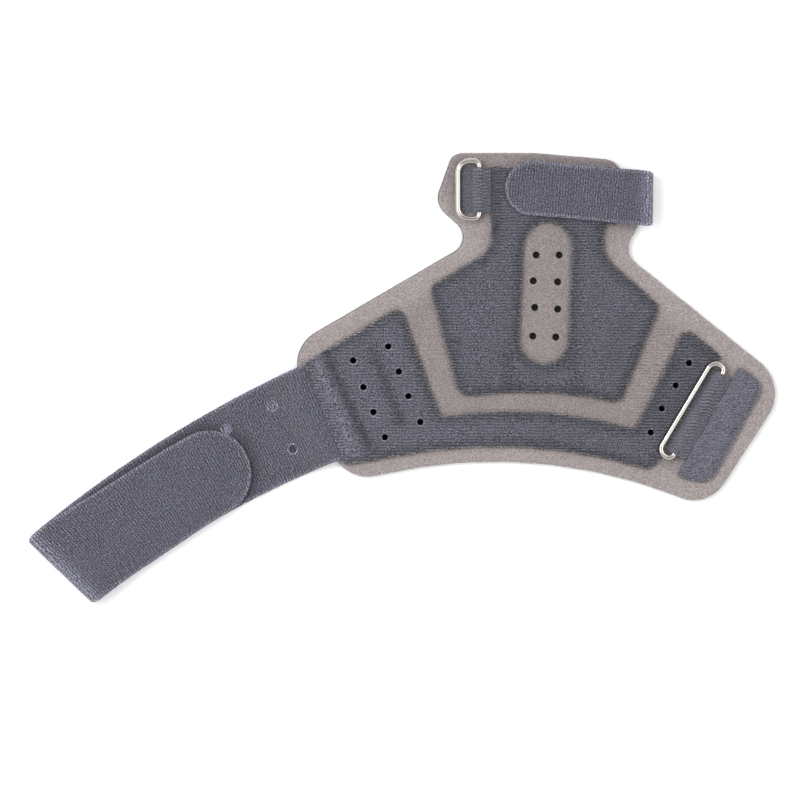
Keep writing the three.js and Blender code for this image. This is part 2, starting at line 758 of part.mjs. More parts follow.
const splint = new THREE.Group();
addMesh(splint, 'base_pad', buildPad(), materials.suede);
addMesh(splint, 'thumb_panel', buildThumbPanel(), materials.knit);
addMesh(splint, 'wrist_band', buildWristBand(), materials.knit);
addMesh(splint, 'end_patch', buildEndPatch(), materials.knit);
addMesh(splint, 'wrist_strap', buildWristStrap(), materials.webbing);
addMesh(splint, 'thumb_strap', buildThumbStrap(), materials.webbing);

[
  { name: 'wrist', ring: wristRing, place: wristPlace },
  { name: 'thumb', ring: thumbRing, place: thumbPlace },
].forEach((closure) => {
  const holder = new THREE.Group();
  holder.applyMatrix4(closure.place);
  splint.add(holder);
  addMesh(holder, `${closure.name}_ring_sleeve`, sleeveGeometry(closure.ring), materials.knit);
  addMesh(holder, `${closure.name}_ring`, ringGeometry(closure.ring), materials.nickel);
});

// The origin is under the middle of the whole, on the floor
splint.updateMatrixWorld(true);
const box = new THREE.Box3().setFromObject(splint);
const centre = box.getCenter(new THREE.Vector3());
splint.position.set(-centre.x, -centre.y, -box.min.z);

export default splint;
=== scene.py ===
"""Looks of an opened thumb spica splint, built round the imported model.

Shapes are worked out in millimetres about the middle of the pad, and put into the meshes in metres.
"""

import bpy
import numpy as np
from mathutils.geometry import delaunay_2d_cdt
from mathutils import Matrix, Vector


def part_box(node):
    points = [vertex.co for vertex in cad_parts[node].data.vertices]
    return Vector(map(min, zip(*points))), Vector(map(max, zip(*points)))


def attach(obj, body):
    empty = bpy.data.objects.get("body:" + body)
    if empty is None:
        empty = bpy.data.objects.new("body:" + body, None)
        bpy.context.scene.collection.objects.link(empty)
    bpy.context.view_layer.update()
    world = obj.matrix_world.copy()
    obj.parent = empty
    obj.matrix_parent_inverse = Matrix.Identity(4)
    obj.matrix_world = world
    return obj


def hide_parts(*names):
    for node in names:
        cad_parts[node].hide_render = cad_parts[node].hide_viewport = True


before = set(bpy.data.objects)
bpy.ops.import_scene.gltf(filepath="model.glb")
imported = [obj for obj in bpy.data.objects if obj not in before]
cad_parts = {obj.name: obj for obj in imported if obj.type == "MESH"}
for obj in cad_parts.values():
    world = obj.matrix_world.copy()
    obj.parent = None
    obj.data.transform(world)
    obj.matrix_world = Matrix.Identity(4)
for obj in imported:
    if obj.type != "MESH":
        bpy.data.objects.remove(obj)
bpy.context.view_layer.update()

METRES = 0.001

# Sizes in millimetres. The solids have them too, apart from the two plies of the pad and the fine bore in
# the middle of a strap hole, which is a shallow pit here.
BODY_WIDTH = 208
BODY_LENGTH = 150
PAD_TOP = 3.2
BACKING_TOP = 1.0
BACKING_SHIFT = (-0.30, 0.12)
SEAM_GAP = 0.3
PANEL_FLOOR = PAD_TOP + SEAM_GAP
PANEL_RIM = 0.9
PANEL_SLOPE = 3.2
PANEL_HEIGHT = 2.6
PATCH_HEIGHT = 2.0
WINDOW_RADIUS = 10.5
WINDOW_HOLE = 1.5
BAND_HOLE = 1.35
STRAP_HOLE = 1.8
PIN_BORE = 0.12
WIRE = 1.25
RING_CLEARANCE = 0.3
RING_INNER_BEND = 1.2
SLEEVE_WALL = 0.8
SLEEVE_RADIUS = WIRE + RING_CLEARANCE + SLEEVE_WALL
RING_AXIS = PANEL_FLOOR + SLEEVE_RADIUS
STRAP_THICKNESS = 2.0
ROOT_THICKNESS = 1.2
ROOT_DEPTH = 9

# Corners as shares of the body's width and length, with radii as shares of its length
PAD_WRIST_EDGE = [(-0.397, -0.452, 0.110), (-0.517, -0.066, 0.104)]
PAD_CORNERS = [
    (-0.172, 0.501, 0.041),
    (-0.001, 0.501, 0.290),
    (0.160, 0.482, 0.041),
    (0.239, 0.351, 0.064),
    (0.183, 0.212, 0.052),
    (0.528, -0.171, 0.116),
    (0.360, -0.527, 0.104),
    (0.000, -0.337, 1.450),
    *PAD_WRIST_EDGE,
    (-0.126, 0.250, 0.049),
    (-0.210, 0.353, 0.061),
]
THUMB_PANEL_CORNERS = [
    (-0.0922, 0.462, 0.009),
    (0.175, 0.462, 0.014),
    (0.175, 0.293, 0.014),
    (0.143, 0.293, 0.023),
    (0.143, 0.204, 0.070),
    (0.260, 0.058, 0.023),
    (0.176, -0.225, 0.032),
    (0.010, -0.178, 1.160),
    (-0.159, -0.208, 0.041),
    (-0.222, 0.116, 0.029),
    (-0.0922, 0.222, 0.064),
]
BAND_CORNERS = [
    (-0.282, 0.061, 0.026),
    (-0.199, -0.262, 0.026),
    (0.010, -0.229, 1.218),
    (0.208, -0.297, 0.023),
    (0.312, 0.000, 0.026),
    (0.388, -0.088, 0.012),
    (0.250, -0.404, 0.012),
    (0.233, -0.417, 0.012),
    (-0.016, -0.313, 1.508),
    (-0.398, -0.405, 0.017),
    (-0.486, -0.110, 0.017),
]
PATCH_CORNERS = [
    (0.4265, -0.117, 0.012),
    (0.480, -0.168, 0.044),
    (0.362, -0.465, 0.052),
    (0.295, -0.4345, 0.009),
]
WINDOW_ENDS = [(0.025, 0.228), (0.017, -0.038)]
WINDOW_HOLES = [
    (0.001, 0.206), (0.049, 0.206),
    (-0.005, 0.131), (0.046, 0.128),
    (-0.002, 0.054), (0.046, 0.049),
    (-0.006, -0.029), (0.042, -0.032),
]
BAND_HOLES = [
    (-0.381, -0.100), (-0.360, -0.177), (-0.339, -0.249), (-0.315, -0.322),
    (-0.308, -0.059), (-0.286, -0.132), (-0.266, -0.203), (-0.241, -0.278),
    (0.320, -0.107), (0.292, -0.172), (0.263, -0.239), (0.240, -0.308),
]

# Pressed grooves: two ends as shares, then width and depth in millimetres
BAND_GROOVES = [
    ((-0.447, -0.057), (-0.342, -0.365), 6.2, 0.95),
    ((-0.344, -0.057), (-0.277, -0.295), 6.8, 0.68),
]
THUMB_PANEL_GROOVES = [
    ((-0.058, -0.060), (-0.060, -0.205), 10.5, 0.36),
    ((0.079, -0.060), (0.083, -0.205), 10.5, 0.36),
]
ROOT_ROLL = ((-0.457, -0.098), (-0.378, -0.379), 10.8, 1.3)
# Bands of painted shade: two ends as shares, then width in millimetres and how much painted shade
THUMB_PANEL_SHADES = [
    ((-0.0908, 0.466), (-0.0929, 0.263), 7.5, 0.62),
    ((0.200, 0.060), (0.150, -0.160), 14.0, 0.10),
]
BAND_SHADES = [((0.369, -0.056), (0.250, -0.332), 24.0, 0.32)]

# Rings: the hidden bar's line as shares, outer length, span and bend, and the sleeve's foot and its slant
WRIST_RING = {
    "line": [(0.2866, -0.3767), (0.3917, -0.1330)],
    "length": 48.6,
    "span": 6.5,
    "bend": 2.3,
    "foot": 5.45,
    "slant": -0.0174,
}
THUMB_RING = {
    "line": [(-0.118, 0.324), (-0.118, 0.464)],
    "length": 27.6,
    "span": 9.2,
    "bend": 3.9,
    "foot": 5.36,
    "slant": 0.0,
}

# Straps: root as shares, heading and turn in degrees, lengths of the lower layer and of the flap, the way
# down off the pad, the flap's level and the shares of its length between which it settles there
WRIST_STRAP = {
    "root": (-0.400, -0.223),
    "heading": 201.5,
    "turn": 18,
    "lower": 140,
    "upper": 92,
    "drop": 16,
    "flap_level": STRAP_THICKNESS + SEAM_GAP,
    "settles": (0.0, 0.35),
    "width": 40.5,
    "widths": ([0.0, 0.35, 0.7, 1.0, 1.5, 2.0], [1.11, 1.05, 1.01, 1.0, 0.94, 0.91]),
    "fold_radius": 2.3,
    "skew": (0.107, 9.0),
    "flap_slip": 2.1,
}
THUMB_STRAP = {
    "root": (0.135, 0.381),
    "heading": -5.1,
    "turn": 0,
    "lower": 20.5,
    "upper": 62,
    "drop": 0,
    "flap_level": PANEL_FLOOR + PANEL_HEIGHT + SEAM_GAP,
    "settles": (0.25, 0.85),
    "width": 24.2,
    "widths": ([0.0, 0.5, 1.0, 1.6, 2.0], [0.86, 0.90, 0.99, 0.96, 1.0]),
    "fold_radius": 2.6,
    "skew": (0.0725, -16.9),
    "flap_slip": 0.0,
}
# Strap holes: place along and across, then how much painted shade shows in each pit, painted light where it
# is below zero
STRAP_HOLES = [(0.205, -0.274, -1.20), (0.205, 0.234, 0.36), (0.362, -0.274, -2.00), (0.380, 0.234, 0.30)]

# How finely shapes are divided
ARC_ERROR = 0.01
SMALLEST_RADIUS = 0.2
NEARLY_STRAIGHT = 80.0
CHUNK = 2000

# Distances in millimetres: how near is on a hole's wall, how far a sleeve covers the cut edge beside its
# bar, and what stands for no edge or no hole near
ON_WALL = 0.02
SLEEVE_COVER = 8.5
NO_EDGE = 9.0
NO_HOLE = 99.0


# Plane geometry


def on_body(share):
    """Shares of the body's width and length as millimetres."""
    return np.array(share, float)[..., :2] * (BODY_WIDTH, BODY_LENGTH)


def corner_table(shares):
    """Rows of x, y and radius in millimetres from rows of shares."""
    rows = np.array(shares, float)
    return np.column_stack([on_body(rows), rows[:, 2] * BODY_LENGTH])


def smooth(value, start, stop):
    """Rises from 0 at start to 1 at stop as 3t^2 - 2t^3."""
    t = np.clip((value - start) / (stop - start), 0, 1)
    return t * t * (3 - 2 * t)


def bell(value, width):
    """Bell of height 1: e to the power of minus the square of value over width."""
    return np.exp(-((value / width) ** 2))


def towards(angle):
    """Plane unit vector for an angle, or for each of an array."""
    return np.stack([np.cos(angle), np.sin(angle)], -1)


def turned(vectors, angles):
    """Each vector turned by its own angle."""
    c = np.cos(angles)
    s = np.sin(angles)
    x, y = vectors[..., 0], vectors[..., 1]
    return np.stack([c * x - s * y, s * x + c * y], -1)


def cross(a, b):
    """The upright part of the cross product of plane vectors."""
    return a[..., 0] * b[..., 1] - a[..., 1] * b[..., 0]


def after(loop):
    """For each point of a closed loop the next one."""
    return np.roll(loop, -1, 0)


def rounded_outline(corners, inset=0.0):
    """Counter-clockwise outline in which each corner is an arc that touches both of its edges.

    An inset moves every edge inward by that much and each arc keeps its centre, so its radius is
    the radius less the inset at an outward corner, and the radius plus the inset at an inward one.
    """
    at = corners[:, :2]
    radius = corners[:, 2]
    if cross(at, after(at)).sum() < 0:
        at = at[::-1]
        radius = radius[::-1]
    ahead = after(at) - at
    length = np.linalg.norm(ahead, axis=1)
    ahead = ahead / length[:, None]
    behind = np.roll(ahead, 1, 0)
    turn = np.arctan2(cross(behind, ahead), (behind * ahead).sum(1))
    tangent = radius * np.abs(np.tan(turn / 2))
    room = length / (tangent + after(tangent))
    radius = radius * np.minimum(1, np.minimum(room, np.roll(room, 1)))
    inward = np.column_stack([-behind[:, 1], behind[:, 0]])
    side = np.sign(turn)
    centre = at + inward * (radius * side)[:, None] - behind * (np.tan(turn / 2) * radius * side)[:, None]
    drawn = np.maximum(radius - side * inset, SMALLEST_RADIUS)
    lost = drawn - (radius - side * inset)
    centre += turned(inward, turn / 2) * (side * lost / np.cos(turn / 2))[:, None]
    arcs = []
    for k in range(len(at)):
        step = min(2 * np.arccos(1 - min(ARC_ERROR / radius[k], 0.5)), np.pi / 10)
        angles = np.linspace(0, turn[k], max(2, int(np.ceil(abs(turn[k]) / step))) + 1)
        spokes = turned(np.broadcast_to(inward[k], (len(angles), 2)), angles)
        arcs.append(centre[k] - spokes * side[k] * drawn[k])
    return np.concatenate(arcs)


def border(outline_at, insets, spacing, waver):
    """Loops from a cut edge inward, one for each inset, with points on the same spokes.

    The first loop is divided at the spacing, and every loop at the same shares of the same edges.
    The waver moves all loops of a spoke together by a slow sum of sines of the length along the edge.
    """
    loops = [outline_at(inset) for inset in insets]
    lengths = np.linalg.norm(after(loops[0]) - loops[0], axis=1)
    counts = np.maximum(1, np.ceil(lengths / spacing)).astype(int)
    edge = np.repeat(np.arange(len(counts)), counts)
    share = (np.arange(counts.sum()) - np.repeat(np.cumsum(counts) - counts, counts)) / counts[edge]
    share = share[:, None]
    stack = np.array([loop[edge] * (1 - share) + after(loop)[edge] * share for loop in loops])
    ahead = after(stack[0]) - stack[0]
    run = np.cumsum(np.linalg.norm(ahead, axis=1))
    turns = np.round(run[-1] / np.array([19.0, 7.1, 3.7, 1.37]))
    waves = np.sin(np.outer(2 * np.pi * run / run[-1], turns) + (0.4, 1.9, 3.1, 0.8))
    out = np.column_stack([ahead[:, 1], -ahead[:, 0]])
    out /= np.maximum(np.linalg.norm(out, axis=1), 1e-9)[:, None]
    fade = 1 - np.array(insets) / insets[-1]
    return stack + fade[:, None, None] * out * (waver * waves @ (0.3, 0.2, 0.2, 0.3))[:, None]


def round_border(centre, radius, widths, sides=20):
    """Clockwise circles round a hole: its wall and then one for each width outside of it."""
    spokes = towards(-2 * np.pi * np.arange(sides) / sides)
    return centre + spokes * (radius + np.array([0.0, *widths]))[:, None, None]


def slot_outline(inset):
    """Clockwise slot with round ends round the window's two end points, grown by the inset."""
    low, high = on_body(WINDOW_ENDS)
    angles = np.arctan2(*(high - low)[::-1]) + np.pi / 2 - np.linspace(0, np.pi, 40)
    spokes = towards(angles) * (WINDOW_RADIUS + inset * 0.75)
    return np.concatenate([high + spokes, low - spokes])


def edges_of(loops):
    """Starts and ends of the edges of closed loops."""
    return np.concatenate(loops), np.concatenate([after(loop) for loop in loops])


def inside(points, loops):
    """Whether a ray to the right of each point crosses the loops an odd number of times.

    That is so inside the outer loop and outside the holes in it.
    """
    start, end = edges_of(loops)
    rise = end[:, 1] - start[:, 1]
    lean = (end[:, 0] - start[:, 0]) / np.where(rise == 0, 1, rise)
    found = np.empty(len(points), bool)
    for first in range(0, len(points), CHUNK):
        p = points[first : first + CHUNK, None]
        between = (start[:, 1] > p[..., 1]) != (end[:, 1] > p[..., 1])
        crossed = between & (p[..., 0] < start[:, 0] + (p[..., 1] - start[:, 1]) * lean)
        found[first : first + CHUNK] = crossed.sum(1) % 2 == 1
    return found


def distance_to(points, start, end):
    """Shortest distance from each point to any of the segments from start to end."""
    along = end - start
    square = np.maximum((along**2).sum(1), 1e-12)
    nearest = np.empty(len(points))
    for first in range(0, len(points), CHUNK):
        reach = points[first : first + CHUNK, None] - start
        share = np.clip((reach * along).sum(2) / square, 0, 1)
        gap = reach - share[..., None] * along
        nearest[first : first + CHUNK] = np.sqrt((gap**2).sum(2).min(1))
    return nearest


def distance_to_loops(points, loops):
    """Shortest distance from each point to any of the closed loops."""
    return distance_to(points, *edges_of(loops))


def sideways_lean(points, loops):
    """How far the way to the nearest loop leans sideways: 1 across the picture, 0 up or down it."""
    step = 0.2
    return np.abs(distance_to_loops(points + (step, 0), loops) - distance_to_loops(points, loops)) / step


# Flat layouts and closed pieces


def swept_faces(rows, columns, closed_rows=False):
    """Quads of a grid whose columns close on themselves, and whose rows may."""
    index = np.arange(rows * columns).reshape(rows, columns)
    nearby = np.roll(index, -1, 1)
    last = rows if closed_rows else rows - 1
    corners = [index[:last], nearby[:last], after(nearby)[:last], after(index)[:last]]
    return np.stack(corners, -1).reshape(-1, 4)


def filled(loops, extra=()):
    """Counter-clockwise Delaunay triangles inside the first closed loop and outside the others.

    They number the loops' points in turn and then the extra points between them. Only a triangle with
    all corners on loops may lie outside, and its middle tells.
    """
    known = np.concatenate(loops)
    places = np.concatenate([known, np.reshape(extra, (-1, 2))])
    rings = np.split(np.arange(len(known)), np.cumsum([len(loop) for loop in loops])[:-1])
    joins = np.column_stack(edges_of(rings))
    made = delaunay_2d_cdt(places.tolist(), joins.tolist(), [], 0, 1e-6)
    source = np.array([sources[0] for sources in made[3]])
    faces = source[np.array([face for face in made[2] if len(face) == 3])]
    doubtful = (faces < len(known)).all(1)
    keep = ~doubtful
    keep[doubtful] = inside(places[faces[doubtful]].mean(1), loops)
    faces = faces[keep]
    a, b, c = (places[faces[:, k]] for k in range(3))
    area = cross(b - a, c - a)
    faces[area < 0] = faces[area < 0][:, ::-1]
    return faces[np.abs(area) > 1e-9]


def layout(edges, holes, step):
    """Flat plan of a piece: rows of quads inward from each cut edge, and triangles between them.

    The ground between the innermost loops is a grid of points at the step, every second row
    shifted by half a step, joined by Delaunay triangles.
    """
    stacks = [*edges, *holes]
    quads = []
    rims = []
    inner = []
    count = 0
    for stack in stacks:
        rows, columns = stack.shape[:2]
        quads.append(swept_faces(rows, columns) + count)
        rims.append(count + np.arange(columns))
        inner.append(rims[-1] + (rows - 1) * columns)
        count += rows * columns
    loops = [stack[-1] for stack in stacks]
    xs, ys = (np.arange(*span) for span in zip(loops[0].min(0), loops[0].max(0), step))
    grid = np.stack(np.meshgrid(xs, ys), -1)
    grid[1::2, :, 0] += step[0] / 2
    grid = grid.reshape(-1, 2)
    grid = grid[inside(grid, loops)]
    grid = grid[distance_to_loops(grid, loops) > 0.55 * min(step)]
    index = np.concatenate([*inner, count + np.arange(len(grid))])
    flat = np.concatenate([*[stack.reshape(-1, 2) for stack in stacks], grid])
    walls = [stack[0] for stack in holes]
    return {
        "xy": flat,
        "quads": np.concatenate(quads),
        "triangles": index[filled(loops, grid)],
        "rims": rims,
        "edge": distance_to_loops(flat, [stack[0] for stack in edges]),
        "hole": distance_to_loops(flat, walls) if walls else np.full(len(flat), NO_HOLE),
    }


def closed_faces(plan):
    """Faces of the upper sheet, of the lower sheet turned over, and of the walls that join their rims."""
    count = len(plan["xy"])
    quads = [plan["quads"], plan["quads"][:, ::-1] + count]
    quads += [np.column_stack([rim + count, after(rim) + count, after(rim), rim]) for rim in plan["rims"]]
    return np.concatenate(quads), np.concatenate([plan["triangles"], plan["triangles"][:, ::-1] + count])


def add_piece(name, points, faces, material, node_name, attributes, body="splint", sharp=60,
              uv=None):
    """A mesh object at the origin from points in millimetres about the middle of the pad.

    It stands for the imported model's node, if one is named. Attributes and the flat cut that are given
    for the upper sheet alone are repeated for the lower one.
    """
    mesh = bpy.data.meshes.new(name)
    placed = (points + [*origin, 0.0]) * METRES
    corners = np.concatenate([f.ravel() for f in faces]).astype(np.int32)
    sizes = np.concatenate([np.full(len(f), f.shape[1]) for f in faces]).astype(np.int32)
    mesh.vertices.add(len(placed))
    mesh.vertices.foreach_set("co", placed.astype(np.float32).ravel())
    mesh.loops.add(len(corners))
    mesh.loops.foreach_set("vertex_index", corners)
    mesh.polygons.add(len(sizes))
    mesh.polygons.foreach_set("loop_start", (np.cumsum(sizes) - sizes).astype(np.int32))
    mesh.update(calc_edges=True)
    mesh.validate()
    for key, values in attributes.items():
        layer = mesh.attributes.new(key, "FLOAT", "POINT")
        layer.data.foreach_set("value", np.resize(values, len(placed)).astype(np.float32))
    if uv is not None:
        layer = mesh.uv_layers.new(name="Flat cut")
        cut = np.resize(uv, (len(placed), 2))[corners] * METRES
        layer.data.foreach_set("uv", cut.astype(np.float32).ravel())
    mesh.polygons.foreach_set("use_smooth", np.ones(len(sizes), bool))
    mesh.set_sharp_from_angle(angle=np.radians(sharp))
    mesh.materials.append(material)
    piece = bpy.data.objects.new(name, mesh)
    bpy.context.scene.collection.objects.link(piece)
    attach(piece, body)
    if node_name:
        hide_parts(node_name)
    return piece


def groove(points, line):
    """How deep a pressed groove is: its depth times a bell across it, fading out past both ends."""
    start, end = on_body(line[:2])
    width, depth = line[2:]
    length = np.linalg.norm(end - start)
    ahead = (end - start) / length
    run = (points - start) @ ahead
    across = cross(ahead, points - start)
    fade = smooth(run, -0.4 * width, 0.5 * width) * smooth(length - run, -0.4 * width, 0.5 * width)
    return depth * fade * bell(across, 0.36 * width)


def uneven(points, scale, seed):
    """Slow unevenness between about -1 and 1: a sum of six sines in turned directions."""
    k = np.arange(6)
    wave = 2 * np.pi / (scale * (0.7 + 0.17 * k))
    return np.sin(wave * (points @ towards(2.4 * k + seed).T) + 1.7 * k * seed).sum(1) / 3.2


def edge_round(distance, radius, low):
    """Share of the full height at a distance from a cut edge: low there, then a quarter round."""
    return low + (1 - low) * np.sqrt(1 - (1 - np.clip(distance / radius, 0, 1)) ** 2)


# Straps


def strap_plan(strap, distance):
    """Middle line in plan: an arc from the root whose heading turns evenly with the distance."""
    start = np.radians(strap["heading"])
    half = np.radians(strap["turn"]) / strap["lower"] * distance / 2
    chord = distance * np.sinc(half / np.pi)
    return on_body(strap["root"]) + towards(start + half) * chord[..., None], start + 2 * half


def strap_depth(distance):
    """The strap is skived at its root and has its full thickness past the seam."""
    full = smooth(distance, ROOT_DEPTH / 2, ROOT_DEPTH * 1.5)
    return ROOT_THICKNESS + (STRAP_THICKNESS - ROOT_THICKNESS) * full


def underside(strap, distance):
    """The lower layer lies on the pad, and one that drops goes down over the pad's edge to the floor."""
    level = np.full(len(distance), PANEL_FLOOR)
    if strap["drop"]:
        low, high = on_body(PAD_WRIST_EDGE)
        ahead = towards(np.radians(strap["heading"]))
        off_pad = cross(low - on_body(strap["root"]), high - low) / cross(ahead, high - low)
        level *= 1 - smooth(distance, off_pad, off_pad + strap["drop"])
    return level


def strap_path(strap):
    """Middle line from the side: out along the lower level, half round the fold, and back above.

    The flap starts at the fold's top and settles smoothly on its own level. Returns the length along
    the line with the distance from the root and the height there.
    """
    out = np.linspace(0, strap["lower"], 400)
    level = underside(strap, out)
    low = level + strap_depth(out) / 2
    angle = np.linspace(0, np.pi, 60)[1:-1]
    radius = strap["fold_radius"]
    back = np.linspace(0, strap["upper"], 400)
    top = level[-1] + 2 * radius
    flap = top + (strap["flap_level"] - top) * smooth(back / strap["upper"], *strap["settles"])
    distance = np.concatenate([out, strap["lower"] + radius * np.sin(angle), strap["lower"] - back])
    height = np.concatenate([low, low[-1] + radius * (1 - np.cos(angle)), flap + STRAP_THICKNESS / 2])
    length = np.concatenate([[0], np.cumsum(np.hypot(np.diff(distance), np.diff(height)))])
    return length, distance, height


def strap_half_width(strap, path, run):
    """Half the strap's width at a length along its middle line."""
    length, distance, _ = path
    turn = np.argmax(distance)
    share = np.where(
        np.arange(len(length)) <= turn,
        np.minimum(distance / strap["lower"], 1),
        1 + (strap["lower"] - np.minimum(distance, strap["lower"])) / strap["upper"],
    )
    return np.interp(np.interp(run, length, share), *strap["widths"]) * strap["width"] / 2


def carry(strap, path, flat, lift):
    """Flat strap carried along its folded path: run and side in its plane, lift along its upper normal.

    The normal is the path's side-view direction turned by a quarter turn, so it tips over with the fold.
    The skew slides the cloth forward near the fold, by more on one side, so the fold lies askew, and
    the slip moves the folded-back layer sideways. The fold's corners are drawn in a little.
    """
    length, distance, height = path
    run, side = flat.T
    ahead, rise = (np.interp(run, length, np.gradient(line, length)) for line in (distance, height))
    size = np.hypot(ahead, rise)
    at, heading = strap_plan(strap, np.interp(run, length, distance))
    forward = towards(heading)
    sideways = forward[:, ::-1] * (-1, 1)
    past_fold = run - length[np.argmax(distance)]
    askew = smooth(np.interp(run, length, distance) / strap["lower"], 0.43, 1) * strap["skew"][0]
    slid = askew * (strap["skew"][1] - side) - rise / size * lift
    side = side * (1 - 0.05 * bell(past_fold, 2.4)) + strap["flap_slip"] * smooth(past_fold, 0, 50)
    plan = at + forward * slid[:, None] + sideways * side[:, None]
    return np.column_stack([plan, np.interp(run, length, height) + ahead / size * lift])


def root_cover(points, strap):
    """1 where a panel lies over a strap's sewn root and 0 elsewhere, with soft sides, and the run there."""
    ahead = towards(np.radians(strap["heading"]))
    reach = points - on_body(strap["root"])
    run = reach @ ahead
    half = strap_half_width(strap, strap_path(strap), np.clip(run, 0, 25))
    return smooth(run, -2.5, -0.3) * smooth(half + 1.4 - np.abs(cross(ahead, reach)), 0, 1.1), run


# Rings and sleeves


def ring_frame(ring):
    """Middle of a ring's bar and the plane directions across and along it."""
    low, high = on_body(ring["line"])
    along = (high - low) / np.linalg.norm(high - low)
    return (low + high) / 2, np.array([along[1], -along[0]]), along


def ring_line(ring, steps):
    """Centre line of a wire ring in its own plane: four quarter arcs, tight beside the sleeve."""
    tight = WIRE + RING_INNER_BEND
    wide = WIRE + ring["bend"]
    half = ring["length"] / 2 - WIRE
    bends = [
        (-tight, -half + tight, tight, -np.pi / 2),
        (-tight, half - tight, tight, 0),
        (-ring["span"] + wide, half - wide, wide, np.pi / 2),
        (-ring["span"] + wide, -half + wide, wide, np.pi),
    ]
    spokes = [towards(start + np.linspace(0, np.pi / 2, steps)) for _, _, _, start in bends]
    points = [np.array([x, y]) + spoke * radius for (x, y, radius, _), spoke in zip(bends, spokes)]
    return np.concatenate(points), np.concatenate(spokes)


def ring_trough(points, ring):
    """Height that a panel stays under so that the lying wire has room: a parabola across the wire."""
    middle, across, along = ring_frame(ring)
    local, _ = ring_line(ring, 12)
    gap = distance_to_loops(points, [middle + local[:, :1] * across + local[:, 1:] * along])
    return RING_AXIS - WIRE - 0.3 + 0.6 * gap**2


def build_ring(name, ring, body):
    """Round wire: a circle of the wire's radius carried along the ring's centre line."""
    middle, across, along = ring_frame(ring)
    local, spokes = ring_line(ring, 20)
    turn = 2 * np.pi * np.arange(32) / 32
    flat = local[:, None] + spokes[:, None] * (WIRE * np.cos(turn))[None, :, None]
    level = np.broadcast_to(RING_AXIS - WIRE * np.sin(turn), flat.shape[:2])
    plan = middle + flat[..., :1] * across + flat[..., 1:] * along
    points = np.concatenate([plan, level[..., None]], -1).reshape(-1, 3)
    faces = [swept_faces(len(local), len(turn), closed_rows=True)]
    add_piece(name, points, faces, nickel, name, {}, body=body, sharp=80)


def sleeve_hump(x, foot):
    """Top of a sleeve across its bar: a foot's thickness, a flattened bell, and a slope to the far foot.

    The slope is the line through the foot's end that touches the round hump.
    """
    low = -SLEEVE_RADIUS + SLEEVE_WALL
    hump = low + (SLEEVE_RADIUS - low) * np.exp(-np.abs(x / 2.14) ** 3.5)
    leave = np.arctan2(low, foot) + np.arccos(SLEEVE_RADIUS / np.hypot(foot, low))
    touch = SLEEVE_RADIUS * np.cos(leave)
    slope = low + (foot - x) / (foot - touch) * (SLEEVE_RADIUS * np.sin(leave) - low)
    return np.where(x > touch, np.maximum(hump, slope), hump)


def build_sleeve(name, ring):
    """Knit sleeve: its cross-section, with a bore for the bar, carried along the bar.

    The section's top is the hump plus ribs, sines of the distance up the picture with a slow wander.
    The far foot's length changes evenly along the bar by the ring's slant.
    """
    middle, across, along = ring_frame(ring)
    reach = ring["span"] - WIRE - RING_CLEARANCE
    half = ring["length"] / 2 - 2 * WIRE - RING_INNER_BEND - RING_CLEARANCE
    rows = int(2 * half / 0.22)
    y = np.linspace(-half, half, rows)[:, None]
    foot = ring["foot"] + ring["slant"] * y
    near = np.broadcast_to(np.linspace(0, -reach, 34), (rows, 34))
    x = np.concatenate([foot * np.linspace(1, 0, 30)[:-1], near], 1)
    end = smooth(half - np.abs(y), 0, 0.7)
    soft = 0.35 * (1 - edge_round(x + reach, 0.8, 0.0))
    level = (middle + x[..., None] * across + y[..., None] * along) @ (0.14, 1.0)
    level = level + 0.30 * np.sin(y / 2.9) + 0.25 * np.sin(x * 1.3 + y / 1.9)
    weight = smooth(x, -3.4, -2.0) * smooth(foot - x, -0.6, 1.2) * (0.75 + 0.25 * np.sin(y / 5.3 + 0.7))
    ribs = 0.16 * np.sin(2 * np.pi * level / 1.42) * weight * end
    top = sleeve_hump(x, foot) - 0.12 * (1 - end) + ribs - soft
    under = -reach + (foot + reach) * np.linspace(0, 1, 18)
    bottom = np.full(under.shape, -SLEEVE_RADIUS)
    bore = (WIRE + RING_CLEARANCE) * towards(2 * np.pi * np.arange(28) / 28)
    section = (np.concatenate([x, under], 1), y, np.concatenate([top, bottom], 1))
    outer = np.stack(np.broadcast_arrays(*section), -1)
    inner = np.stack(np.broadcast_arrays(bore[:, 0], y[[0, -1]], bore[:, 1]), -1)
    local = np.concatenate([outer.reshape(-1, 3), inner.reshape(-1, 3)])
    plan = middle + local[:, :1] * across + local[:, 1:2] * along
    points = np.column_stack([plan, local[:, 2] + RING_AXIS])
    width = outer.shape[1]
    faces = [swept_faces(rows, width)[:, ::-1], swept_faces(2, len(bore)) + rows * width]
    for row, turn in ((0, 1), (1, -1)):
        rim = row * (rows - 1) * width + np.arange(width)
        hole = rows * width + row * len(bore) + np.arange(len(bore))
        cap = filled([local[loop][:, [0, 2]] for loop in (rim, hole)])
        faces.append(np.concatenate([rim, hole])[cap][:, ::turn])
    in_bore = np.zeros(2 * len(bore))
    # The ribs' valleys get painted shade and their crests painted light
    attributes = {
        "edge": np.append(np.minimum(half - np.abs(outer[..., 1]), NO_EDGE), in_bore),
        "hole": NO_HOLE,
        "cut": np.append(np.zeros(rows * width), in_bore + 1),
        "painted_shading": np.append(np.concatenate([-3.4 * ribs, np.zeros(under.shape)], 1), in_bore),
    }
    add_piece(name, points, faces, sleeve_knit, name, attributes)


# Node helpers and shared shader effects


def node(tree, kind, inputs=None, **settings):
    """A shader node with its settings, and its inputs given as values or as sockets to link."""
    made = tree.nodes.new("ShaderNode" + kind)
    for key, value in settings.items():
        setattr(made, key, value)
    for key, value in (inputs or {}).items():
        if isinstance(value, bpy.types.NodeSocket):
            tree.links.new(value, made.inputs[key])
        else:
            made.inputs[key].default_value = value
    return made


